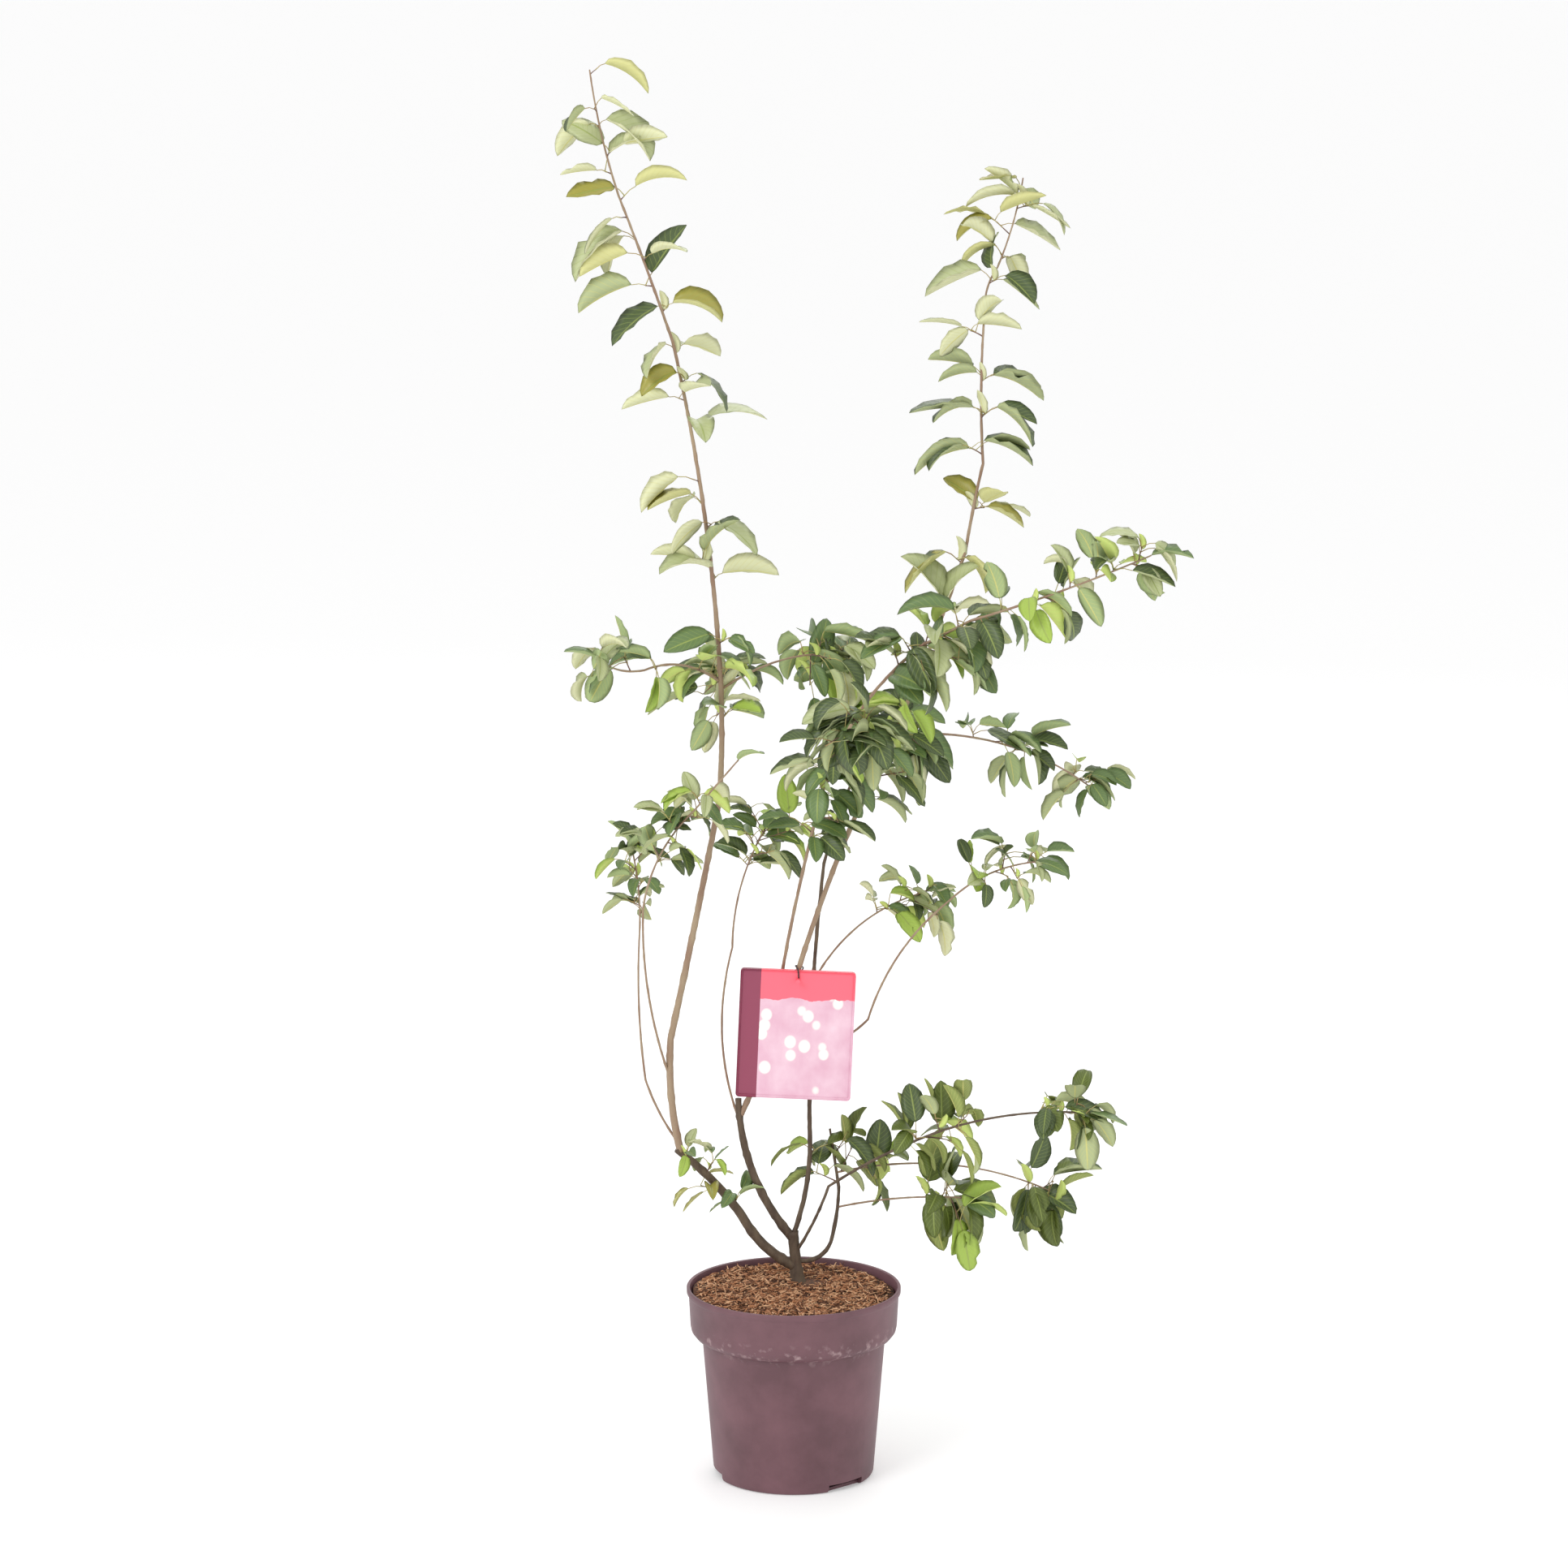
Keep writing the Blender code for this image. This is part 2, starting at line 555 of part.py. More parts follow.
def mass_frame(mass, lines):
    """The mass's middle, its axis and its two cross directions."""
    middle, heading = place_on(lines[mass.limb][0], mass.along)
    axis = Vector(mass.axis) if mass.axis else heading
    depth = Vector((0, 1, 0))
    depth = (depth - axis * depth.dot(axis)).normalized()
    return middle + Vector(mass.shift), axis, axis.cross(depth).normalized(), depth


def reaches(mass, lines, name):
    """Whether a limb runs into the mass, with a margin for its lumps."""
    middle, axis, across, depth = mass_frame(mass, lines)
    for point in dense(lines[name])[0]:
        away = point - middle
        parts = (away.dot(axis), away.dot(across), away.dot(depth))
        if sum((part / (half * LUMP_MARGIN)) ** 2 for part, half in zip(parts, mass.half)) < 1:
            return True
    return False


def make_masses(lines, tools):
    for mass in MASSES:
        middle, axis, across, depth = mass_frame(mass, lines)
        bm = bmesh.new()
        bmesh.ops.create_uvsphere(bm, u_segments=MASS_SIDES, v_segments=MASS_RINGS, radius=1.0)
        for vert in bm.verts:
            way = vert.co.copy()
            lump = noise.noise(way * LUMP_SIZE + Vector((mass.seed * SEED_STEP, 0, 0)))
            size = 1 + UNEVEN * lump
            vert.co = middle + (
                axis * way.z * mass.half[0]
                + across * way.x * mass.half[1]
                + depth * way.y * mass.half[2]
            ) * size
        item = finish(f"{mass.name}_leaves", bm, LEAF_GREEN, 0.6)
        for name, tool in tools.items():
            if reaches(mass, lines, name):
                carve(item, tool)


def make_card():
    bm = bmesh.new()
    bmesh.ops.create_cube(bm, size=1.0)
    bmesh.ops.scale(bm, verts=bm.verts, vec=(CARD_WIDTH, CARD_THICKNESS, CARD_HEIGHT))
    bmesh.ops.translate(bm, verts=bm.verts, vec=(0, 0, -CARD_HEIGHT / 2))
    card = finish("label_card", bm, CARD_PINK, 0.5)
    turn_card(card)
    bm = bmesh.new()
    bmesh.ops.create_cone(
        bm, cap_ends=True, segments=12, radius1=CARD_HOLE_RADIUS, radius2=CARD_HOLE_RADIUS, depth=0.02,
    )
    for vert in bm.verts:
        vert.co = Vector((vert.co.x, vert.co.z, vert.co.y - CARD_HOLE_DROP))
    hole = cutter("cut_card_hole", bm)
    turn_card(hole)
    carve(card, hole)


def turn_card(item):
    item.location = CARD_TOP_MIDDLE
    item.rotation_euler = (0, math.radians(CARD_TURN), 0)


def make_tie(lines):
    """A closed loop: through the card's hole, over its top edge and round the stem behind."""
    edge = CARD_TOP_MIDDLE
    front = CARD_THICKNESS / 2 + CUT_GAP + TIE_RADIUS * TIE_OFF_CARD
    hole = edge + Vector((0, 0, -CARD_HOLE_DROP))
    over = edge.z + TIE_RADIUS * 2 + CUT_GAP
    route = [
        hole + Vector((0, -front, 0)),
        Vector((hole.x, edge.y - front, edge.z - TIE_BEND_DROP)),
        Vector((hole.x - TIE_SLANT, edge.y - front * 0.7, over)),
    ]
    for turn, drop in TIE_WRAP:
        height = over + 0.001 - drop
        stem, stem_radius = stem_at(lines, height)
        reach = stem_radius + CUT_GAP + TIE_RADIUS * TIE_OFF_STEM
        angle = math.radians(turn)
        route.append(Vector((
            stem.x + reach * math.cos(angle), stem.y + reach * math.sin(angle), height,
        )))
    route += [
        Vector((hole.x + TIE_SLANT, edge.y + front, edge.z - TIE_BEND_DROP)),
        hole + Vector((0, front, 0)),
    ]
    count = len(route)
    sides = TIE_SIDES
    points = []
    for i in range(count):
        a, b, c, d = (route[(i + k) % count] for k in (-1, 0, 1, 2))
        for s in range(TIE_STEPS):
            t = s / TIE_STEPS
            points.append(0.5 * (
                2 * b + (c - a) * t + (2 * a - 5 * b + 4 * c - d) * t * t
                + (3 * b - a - 3 * c + d) * t ** 3
            ))
    bm = bmesh.new()
    rings = []
    side = Vector((1, 0, 0))
    for i, point in enumerate(points):
        heading = (points[(i + 1) % len(points)] - points[i - 1]).normalized()
        side = (side - heading * side.dot(heading)).normalized()
        other = heading.cross(side)
        rings.append([
            bm.verts.new(point + TIE_RADIUS * (
                side * math.cos(math.tau * k / sides) + other * math.sin(math.tau * k / sides)
            ))
            for k in range(sides)
        ])
    offset = min(
        range(sides), key=lambda k: (rings[0][k].co - rings[-1][0].co).length
    )
    for index in range(len(rings)):
        low = rings[index]
        high = rings[(index + 1) % len(rings)]
        shift = offset if index == len(rings) - 1 else 0
        for i in range(sides):
            j = (i + 1) % sides
            bm.faces.new((low[i], low[j], high[(j + shift) % sides], high[(i + shift) % sides]))
    finish("label_tie", bm, TIE_BROWN, 0.5)


def stem_at(lines, height):
    """Where the stem behind the card stands at a height, and its radius there."""
    points, radii = lines["right_leader_lower"]
    for a, b, radius in zip(points, points[1:], radii):
        if a.z <= height <= b.z:
            return a.lerp(b, (height - a.z) / (b.z - a.z)), radius
    raise ValueError("the card's tie is not beside the stem")


def main():
    clear_scene()
    make_pot()
    make_root_ball()
    lines = limb_lines()
    tools = make_limbs(lines)
    make_masses(lines, tools)
    make_card()
    make_tie(lines)


main()
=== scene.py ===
"""The looks of a potted snowy mespilus: bark, twigs, leaves, pot, mulch, card and studio.

Metres, +Z up, in the frame of the CAD model. The origin is the centre of the pot's underside.
"""

import json
import math
from collections import namedtuple
from random import Random

import bpy
import numpy as np
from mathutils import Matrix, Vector, noise

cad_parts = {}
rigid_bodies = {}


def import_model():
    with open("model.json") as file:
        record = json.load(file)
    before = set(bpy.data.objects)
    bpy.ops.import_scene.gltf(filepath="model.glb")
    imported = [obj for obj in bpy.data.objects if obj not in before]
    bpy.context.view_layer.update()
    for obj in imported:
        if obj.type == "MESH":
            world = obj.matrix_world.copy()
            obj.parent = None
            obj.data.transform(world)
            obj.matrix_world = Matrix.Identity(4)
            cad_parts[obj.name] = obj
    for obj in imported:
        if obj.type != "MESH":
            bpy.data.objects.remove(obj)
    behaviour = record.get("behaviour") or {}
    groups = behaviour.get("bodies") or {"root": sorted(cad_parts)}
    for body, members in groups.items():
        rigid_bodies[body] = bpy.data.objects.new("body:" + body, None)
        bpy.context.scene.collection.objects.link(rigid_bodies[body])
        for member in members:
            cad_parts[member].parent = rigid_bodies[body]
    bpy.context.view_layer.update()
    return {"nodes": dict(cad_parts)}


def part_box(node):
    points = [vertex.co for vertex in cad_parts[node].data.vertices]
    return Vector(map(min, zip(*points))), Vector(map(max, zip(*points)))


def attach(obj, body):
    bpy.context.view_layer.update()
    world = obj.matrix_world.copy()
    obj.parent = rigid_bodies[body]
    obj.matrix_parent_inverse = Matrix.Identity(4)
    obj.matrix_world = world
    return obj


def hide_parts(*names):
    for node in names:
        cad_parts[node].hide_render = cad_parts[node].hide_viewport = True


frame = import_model()

bl_info = {
    "name": "Potted snowy mespilus",
    "version": (1, 0, 0),
    "blender": (4, 5, 0),
    "location": "3D View > Sidebar > Plant",
    "description": "Builds the bark, leaves, pot, mulch and card of a potted shrub",
    "category": "Object",
}

BODY = "root"

# Limbs, as in the CAD model. A limb springs from its parent at a fraction of the parent's
# length, and each leg goes to its end with its middle carried off the straight line by its bow.
Leg = namedtuple("Leg", "end bow")
Limb = namedtuple("Limb", "name parent along thick thin legs")
TRUNK_FOOT = Vector((0.005, 0.045, 0.2013))
TRUNK_FORK = Vector((-0.001, 0.045, 0.266))
TRUNK_RADIUS = 0.0062
FLARE_RADIUS = 0.0118
FLARE_HEIGHT = 0.030
LIMBS = (
    Limb("left_stem", "trunk", 0.36, 0.0060, 0.0042, (
        Leg((-0.058, 0.034, 0.287), (-0.005, 0, -0.005)),
        Leg((-0.131, 0.020, 0.368), (0.003, 0, 0.003)),
    )),
    Limb("left_leader_lower", "left_stem", 0.97, 0.0042, 0.0027, (
        Leg((-0.137, 0.010, 0.497), (-0.005, 0, 0)),
        Leg((-0.082, -0.010, 0.770), (0.001, 0, 0)),
        Leg((-0.080, -0.020, 0.906), (0.002, 0, 0)),
    )),
    Limb("left_leader_upper", "left_leader_lower", 0.99, 0.0027, 0.0008, (
        Leg((-0.130, -0.050, 1.277), (0.008, 0, 0.001)),
        Leg((-0.186, -0.078, 1.434), (0.001, 0, 0)),
        Leg((-0.215, -0.100, 1.567), (-0.003, 0, -0.001)),
    )),
    Limb("middle_stem", "trunk", 0.86, 0.0052, 0.0036, (
        Leg((-0.062, 0.029, 0.424), (-0.014, 0, -0.006)),
    )),
    Limb("right_leader_lower", "middle_stem", 0.88, 0.0032, 0.0025, (
        Leg((0.005, 0.016, 0.574), (0.003, 0, -0.002)),
        Leg((0.094, 0.035, 0.802), (-0.004, 0, 0.002)),
    )),
    Limb("right_leader_upper", "right_leader_lower", 0.99, 0.0025, 0.0008, (
        Leg((0.190, 0.075, 1.036), (0.004, 0, -0.001)),
        Leg((0.209, 0.091, 1.130), (-0.001, 0, 0)),
        Leg((0.211, 0.120, 1.298), (-0.003, 0, 0)),
        Leg((0.225, 0.133, 1.343), (-0.004, 0, 0.001)),
        Leg((0.254, 0.162, 1.440), (0.003, 0, -0.001)),
    )),
    Limb("centre_stem", "right_leader_lower", 0.22, 0.0020, 0.0016, (
        Leg((-0.012, 0.027, 0.575), (0, 0, 0)),
        Leg((0.030, -0.030, 0.778), (-0.002, 0, 0)),
        Leg((0.141, -0.100, 0.959), (-0.015, 0, 0.009)),
    )),
    Limb("upper_right_branch", "centre_stem", 0.99, 0.0016, 0.0008, (
        Leg((0.188, -0.110, 0.984), (0, 0, 0)),
        Leg((0.378, -0.150, 1.060), (0.001, 0, -0.003)),
    )),
    Limb("right_stem", "trunk", 0.93, 0.0029, 0.0014, (
        Leg((0.018, 0.052, 0.380), (0.006, 0, 0)),
        Leg((0.034, 0.100, 0.678), (-0.005, 0, 0)),
        Leg((0.094, 0.165, 0.822), (-0.004, 0, 0.001)),
    )),
    Limb("outer_left_whip", "left_leader_lower", 0.02, 0.0014, 0.0009, (
        Leg((-0.166, 0.037, 0.444), (-0.003, 0, -0.001)),
        Leg((-0.173, 0.081, 0.603), (-0.004, 0, 0)),
        Leg((-0.181, 0.105, 0.690), (0.003, 0, 0)),
    )),
    Limb("inner_left_whip", "left_leader_lower", 0.16, 0.0014, 0.0009, (
        Leg((-0.165, -0.050, 0.658), (-0.009, 0, -0.001)),
        Leg((-0.108, -0.084, 0.773), (-0.009, 0, 0.005)),
        Leg((-0.060, -0.104, 0.832), (0, 0, 0)),
    )),
    Limb("centre_whip", "middle_stem", 0.84, 0.0014, 0.0009, (
        Leg((-0.069, 0.089, 0.584), (-0.016, 0, -0.002)),
        Leg((-0.032, 0.125, 0.713), (-0.009, 0, 0.002)),
    )),
    Limb("back_right_whip", "right_stem", 0.49, 0.0013, 0.0009, (
        Leg((0.149, 0.118, 0.642), (-0.010, 0, 0.014)),
    )),
    Limb("front_right_whip", "right_stem", 0.36, 0.0014, 0.0009, (
        Leg((0.083, 0.034, 0.514), (0.004, 0.006, -0.006)),
        Leg((0.170, -0.048, 0.666), (-0.010, 0.004, 0.006)),
        Leg((0.262, -0.092, 0.718), (-0.004, 0, 0.008)),
    )),
    Limb("low_right_bough", "trunk", 0.60, 0.0018, 0.0010, (
        Leg((0.039, 0.020, 0.325), (0.002, -0.004, -0.001)),
        Leg((0.165, -0.050, 0.408), (-0.002, 0, 0.004)),
        Leg((0.322, -0.120, 0.445), (-0.001, 0, 0.008)),
    )),
    Limb("back_shoot", "trunk", 0.47, 0.0026, 0.0013, (
        Leg((0.042, 0.054, 0.251), (0.005, 0, -0.007)),
        Leg((0.051, 0.067, 0.312), (0.002, 0, 0)),
        Leg((0.041, 0.082, 0.376), (0, 0, 0)),
    )),
    Limb("back_right_shoot", "back_shoot", 0.72, 0.0012, 0.0009, (
        Leg((0.300, 0.160, 0.280), (0.004, 0, 0.021)),
    )),
    Limb("low_right_shoot", "back_shoot", 0.50, 0.0012, 0.0009, (
        Leg((0.190, 0.020, 0.312), (0, 0, 0.005)),
    )),
    Limb("left_branch", "left_leader_lower", 0.995, 0.0016, 0.0009, (
        Leg((-0.162, -0.048, 0.921), (0, 0, 0.012)),
        Leg((-0.212, -0.066, 0.936), (-0.002, 0, -0.006)),
    )),
    Limb("node_branch", "left_leader_lower", 0.98, 0.0014, 0.0009, (
        Leg((0.050, 0.080, 0.918), (0, 0, 0.013)),
    )),
    Limb("middle_right_branch", "right_leader_upper", 0.06, 0.0015, 0.0009, (
        Leg((0.335, 0.185, 0.752), (0.007, 0, 0.020)),
    )),
    Limb("front_bough", "centre_stem", 0.78, 0.0014, 0.0009, (
        Leg((0.072, -0.195, 0.880), (0, 0, 0.008)),
    )),
    Limb("left_back_bough", "left_leader_lower", 0.93, 0.0014, 0.0009, (
        Leg((-0.080, 0.115, 0.885), (0, 0, 0.008)),
    )),
)
RING_SPACING = 0.005
TRUNK_STEPS = 16
OLD_BARK_LIMBS = (
    "trunk", "left_stem", "middle_stem", "right_stem", "low_right_bough", "back_shoot",
)
STOUT_RADIUS = 0.0025  # limbs stouter than this have more sides
STOUT_SIDES = 16
SLIM_SIDES = 10
KNOT_SPACING = 0.047
KNOT_PLACE = 0.02
KNOT_WIDTH = 0.0032
KNOT_SWELL = 0.16
BARK_LUMPS = 260  # fineness of the bark's lumps
LUMP_SHARE = 0.22  # largest lump, as a share of the limb's radius

# How each mass of leaves grows: the number of its leaves, a leaf's length, how far its shoots
# reach out towards the mass's surface, and the kinds of leaf with their weights.
Spray = namedtuple("Spray", "mass leaves length reach kinds")
LEADER = (("pale", 5), ("olive", 3), ("dark", 3))
NODE = (("green", 4), ("lime", 3), ("olive", 2), ("pale", 3))
HEART = (("green", 6), ("dark", 6), ("pale", 2), ("lime", 1))
OUTER = (("green", 5), ("dark", 4), ("pale", 2), ("lime", 1))
LOW = (("low", 6), ("dark", 2), ("lime", 1))
SPRAYS = (
    Spray("left_tip_leaves", 8, 0.056, 0.10, LEADER),
    Spray("left_high_leaves", 7, 0.066, 0.12, LEADER),
    Spray("left_upper_leaves", 6, 0.064, 0.12, LEADER),
    Spray("left_middle_leaves", 7, 0.064, 0.14, LEADER),
    Spray("left_branch_leaves", 11, 0.046, 0.40, NODE),
    Spray("left_node_leaves", 15, 0.048, 0.45, NODE),
    Spray("left_back_leaves", 14, 0.050, 0.60, OUTER),
    Spray("low_left_leaves", 12, 0.032, 0.70, NODE),
    Spray("outer_whip_leaves", 20, 0.036, 0.40, OUTER),
    Spray("inner_whip_leaves", 22, 0.038, 0.45, OUTER),
    Spray("centre_whip_leaves", 22, 0.040, 0.60, OUTER),
    Spray("heart_back_leaves", 24, 0.052, 0.65, HEART),
    Spray("heart_top_leaves", 32, 0.054, 0.65, HEART),
    Spray("heart_middle_leaves", 32, 0.056, 0.65, HEART),
    Spray("heart_low_leaves", 24, 0.048, 0.65, HEART),
    Spray("heart_far_leaves", 26, 0.052, 0.65, HEART),
    Spray("heart_near_leaves", 26, 0.052, 0.60, HEART),
    Spray("right_node_leaves", 6, 0.060, 0.20, LEADER),
    Spray("right_middle_leaves", 9, 0.064, 0.28, LEADER),
    Spray("right_upper_leaves", 9, 0.062, 0.25, LEADER),
    Spray("right_tip_leaves", 10, 0.056, 0.30, LEADER),
    Spray("upper_branch_leaves", 12, 0.050, 0.40, OUTER),
    Spray("upper_branch_end_leaves", 12, 0.046, 0.45, OUTER),
    Spray("middle_branch_leaves", 12, 0.048, 0.40, OUTER),
    Spray("middle_branch_end_leaves", 11, 0.042, 0.50, OUTER),
    Spray("back_whip_leaves", 19, 0.036, 0.60, OUTER),
    Spray("front_whip_leaves", 20, 0.036, 0.50, OUTER),
    Spray("back_shoot_leaves", 18, 0.046, 0.60, LOW),
    Spray("low_bough_leaves", 17, 0.044, 0.60, LOW),
    Spray("low_bough_end_leaves", 15, 0.044, 0.55, LOW),
    Spray("low_shoot_leaves", 17, 0.056, 0.60, LOW),
    Spray("back_right_leaves", 15, 0.056, 0.55, LOW),
)
PLANT_SEED = 41

# Shoots. Here and below, a pair given to rng.uniform is the range of an even random draw.
ROOT_REACH = 1.12  # shoots spring from limbs this far out in a mass, 1 being its surface
ROOT_SHIFT = (0.2, 0.8)
CLOSE_REACH = 0.2  # a spray that reaches less than this has fewer leaves on a shoot
CLOSE_LEAVES = 2
OPEN_LEAVES = 4
GOLDEN_TURN = 2.4  # radians round the limb from one shoot to the next
SHOOT_SCATTER = (-0.4, 0.4)
SHOOT_LEAN = (0.2, 0.8)
RISE = Vector((0, 0, 0.25))
SHOOT_FEELER = 0.004
SHOOT_LIMIT = 0.16
SHOOT_LEAST = 0.008
SHOOT_EDGE = 0.92  # a shoot's full way out in its mass, before the spray's share is taken
SHOOT_SAG = (0.0, 0.2)
SHOOT_STEPS = 5
SHOOT_SIDES = 5
TWIG_TIP = 0.0005
TWIG_ROOT = 0.0009
TWIG_TAPER = 0.004  # a twig's root is thicker by this share of its length
TWIG_SHARE = 0.8  # a twig's root is at most this share of its limb's radius

# Leaves on a shoot
FIRST_LEAF = 0.25  # share of the shoot under its first leaf
LEAF_TRIES = 6
LEAF_SCATTER = (-1.0, 1.0)
LEAF_LEAN = (0.2, 0.9)
LEAF_FALL = (0.0, 1.0)
LEAF_LENGTH = (0.72, 1.18)
LEAF_ROLL = 0.45
OWN_KIND = 0.7  # share of a shoot's leaves that are of its own kind
STALK_LENGTH = (0.010, 0.021)
STALK_MIDDLE = 0.55
STALK_BOW = Vector((0, 0, 0.0015))
STALK_RADII = (0.00065, 0.0005, 0.0005)
YOUNG_CHANCE = 0.35
YOUNG_PLACE = (0.2, 0.9)
YOUNG_LENGTH = (0.3, 0.5)
YOUNG_ROLL = 0.3
SLIM_TIP = 0.0010  # limbs as slim as this at their end, save the leaders, end in a leaf
TIP_LEAF = 0.044
TIP_FALL = Vector((0, 0, -0.15))
TIP_LENGTH = (0.8, 1.1)

# Blades, in rows from the stalk to the tip and columns from edge to edge
ROWS = np.array([0.0, 0.05, 0.14, 0.27, 0.41, 0.55, 0.69, 0.82, 0.93, 1.0])
COLUMNS = np.array([-1.0, -0.5, 0.0, 0.5, 1.0])
OUTLINE_LEAN = 0.82  # below 1, the blade is widest nearer its stalk
OUTLINE_FULLNESS = 0.62
OUTLINE = np.sin(math.pi * ROWS ** OUTLINE_LEAN) ** OUTLINE_FULLNESS
OUTLINE[0] = 0.05
OUTLINE[-1] = 0.02
HALF_WIDTH = (0.27, 0.33)  # as a share of the length
FOLD = (8, 42)  # degrees that each half is raised
DROOP = (5, 65)  # degrees that the tip is bent down
CUP = (-0.15, 0.25)
WAVE = (0.02, 0.10)
WAVE_PITCH = 19
WAVE_SKEW = 2
BITE_CHANCE = 0.16
BITE_ROWS = (3, 7)
BITE_LEFT = (0.45, 0.75)  # share of the half width that a bite leaves
BLADE_THICKNESS = 0.00035
MIDRIB = 0.05
VEIN_SLANT = -0.55
VEIN_PITCH = 56.0
VEIN_EDGE = (0.80, 1.0)
VEIN_STRENGTH = 0.35

POT_PROFILE = (  # radius and height, up the outside, over the lip and down the inside
    (0.0857, 0.0), (0.0885, 0.0012), (0.0900, 0.0040), (0.1025, 0.1570), (0.1105, 0.1612),
    (0.1146, 0.1665), (0.1158, 0.1720), (0.1176, 0.2068), (0.1186, 0.2082), (0.1199, 0.2100),
    (0.1200, 0.2148), (0.1194, 0.2158), (0.1180, 0.2160), (0.1164, 0.2152), (0.1152, 0.2110),
    (0.1134, 0.1730), (0.1001, 0.1590), (0.0876, 0.0075), (0.0836, 0.0035),
)
POT_SIDES = 144
POT_CREASE = math.radians(35)
NOTCH_ANGLES = (41.5, 161.5, -78.5)  # degrees round from the front
NOTCH_SIZE = (0.049, 0.020, 0.018)
NOTCH_RADIUS = 0.0897
SCUFFS_ABOVE = (0.182, 0.168)  # heights between which the scuffs come in, from above
SCUFFS_BELOW = (0.150, 0.164)  # and from below
SCRATCH_EDGE = (0.54, 0.78)

SOIL_RADIUS = 0.1128
SOIL_LEVEL = 0.2085
SOIL_TILT = (-0.020, 0.015)
SOIL_WAVES = 40
SOIL_SWELL = 0.003
HOLLOW_DEPTH = 0.006
HOLLOW_WIDTH = 0.014
HOLLOW_ASIDE = (0.012, -0.004)  # from the foot of the trunk
BED_SIDES = 96
BED_DEPTH = 0.03
BED_INSETS = (0.012,) * 3 + (0.014,) * 4
BED_DROP = 0.001
BED_RIM = 0.005
TRUNK_CLEAR = 0.012  # no chip lies nearer the trunk than this
CHIP_LENGTH = (0.25, 1.0)  # as a share of the longest, before its power
CHIP_POWER = 1.5
CHIP_TILT = 0.28
CHIP_LIFT = (0.0, 0.0022)
CHIP_BEND = 0.06
CHIP_THICKNESS = (0.0004, 0.0013)
CHIP_ENDS = (0.5, 0.4)
ALONG_AXIS = 0.9  # least cosine that counts as along an axis

CARD_TOP = Vector((0.0052, 0.0088, 0.5755))
CARD_SIZE = (0.128, 0.0010, 0.146)
CARD_TURN = math.radians(2.5)
CARD_CORNER = 0.004
CARD_CORNER_STEPS = 5
PUNCH_SIDES = 24
PUNCH_RADIUS = 0.0024
PUNCH_DEPTH = 0.02
PUNCH_DROP = 0.011
DOT_EDGE = (0.34, 0.26)
BAND_EDGE = 0.32  # shares of the card from its middle
BAND_RAGGED = 0.10
STRIPE_EDGE = -0.32

FLOOR_SIZE = 600
FLOOR_COLOUR = (0.80, 0.80, 0.80, 1)
FLOOR_GLOW = 0.22
WHITE = (1, 1, 1, 1)
SKY_STRENGTH = 0.92
LAMPS = (  # name, place, size and power
    ("key", (-2.6, -3.2, 3.6), 2.2, 95),
    ("fill", (3.2, -2.4, 2.2), 2.6, 20),
    ("rim", (0.6, 3.2, 3.4), 2.4, 40),
)
LAMP_AIM = Vector((0, 0, 0.7))
CAMERA_PLACE = (-0.0109, -5.2, 1.73)
CAMERA_PITCH = math.radians(79.72)
CAMERA_LENS = 110.4
CAMERA_SENSOR = 36

PATCH_EDGE = (0.35, 0.65)  # noise between which one colour gives way to the other


def tone(red, green, blue):
    """A colour given as on screen, from 0 to 255, as the linear colour that shaders take."""
    def linear(value):
        value = value / 255
        return value / 12.92 if value <= 0.04045 else ((value + 0.055) / 1.055) ** 2.4
    return (linear(red), linear(green), linear(blue), 1.0)


# Each kind of leaf, with its slot and the colours of its upper side and its underside
LEAF_KINDS = {
    "green": ("leaf_green", tone(98, 122, 72), tone(158, 176, 122)),
    "dark": ("leaf_green", tone(74, 90, 52), tone(170, 180, 132)),
    "olive": ("leaf_olive", tone(158, 152, 70), tone(205, 204, 140)),
    "lime": ("leaf_lime", tone(160, 186, 78), tone(196, 214, 118)),
    "pale": ("leaf_pale", tone(176, 184, 136), tone(212, 214, 172)),
    "low": ("leaf_low", tone(90, 104, 40), tone(140, 152, 82)),
}
TOP_VEIN = tone(150, 165, 85)
UNDERSIDE_VEIN = tone(205, 200, 120)
CHIPS = (  # shade, number and the two colours of its patches
    ("light", 1300, tone(222, 180, 142), tone(192, 142, 104)),
    ("middle", 1700, tone(182, 128, 90), tone(152, 100, 68)),
    ("dark", 700, tone(110, 70, 48), tone(84, 54, 38)),
)


# Shader helpers. A node's input is given as a value or as another node's output.

def new_material(name, roughness):
    material = bpy.data.materials.new(name)
    material.use_nodes = True
    shader = material.node_tree.nodes["Principled BSDF"]
    shader.inputs["Roughness"].default_value = roughness
    return material, material.node_tree, shader


def feed(tree, socket, given):
    if isinstance(given, bpy.types.NodeSocket):
        tree.links.new(given, socket)
    else:
        socket.default_value = given


def node(tree, kind, **values):
    made = tree.nodes.new(kind)
    for name, value in values.items():
        if name in made.inputs.keys():
            feed(tree, made.inputs[name], value)
        else:
            setattr(made, name, value)
    return made


def maths(tree, operation, *values):
    made = node(tree, "ShaderNodeMath", operation=operation)
    for socket, value in zip(made.inputs, values):
        feed(tree, socket, value)
    return made.outputs[0]


def map_range(tree, value, low, high, bottom=0.0, top=1.0):
    """Carries low to bottom and high to top, and holds what lies beyond them."""
    made = tree.nodes.new("ShaderNodeMapRange")
    names = ("Value", "From Min", "From Max", "To Min", "To Max")
    for name, given in zip(names, (value, low, high, bottom, top)):
        feed(tree, made.inputs[name], given)
    return made.outputs["Result"]


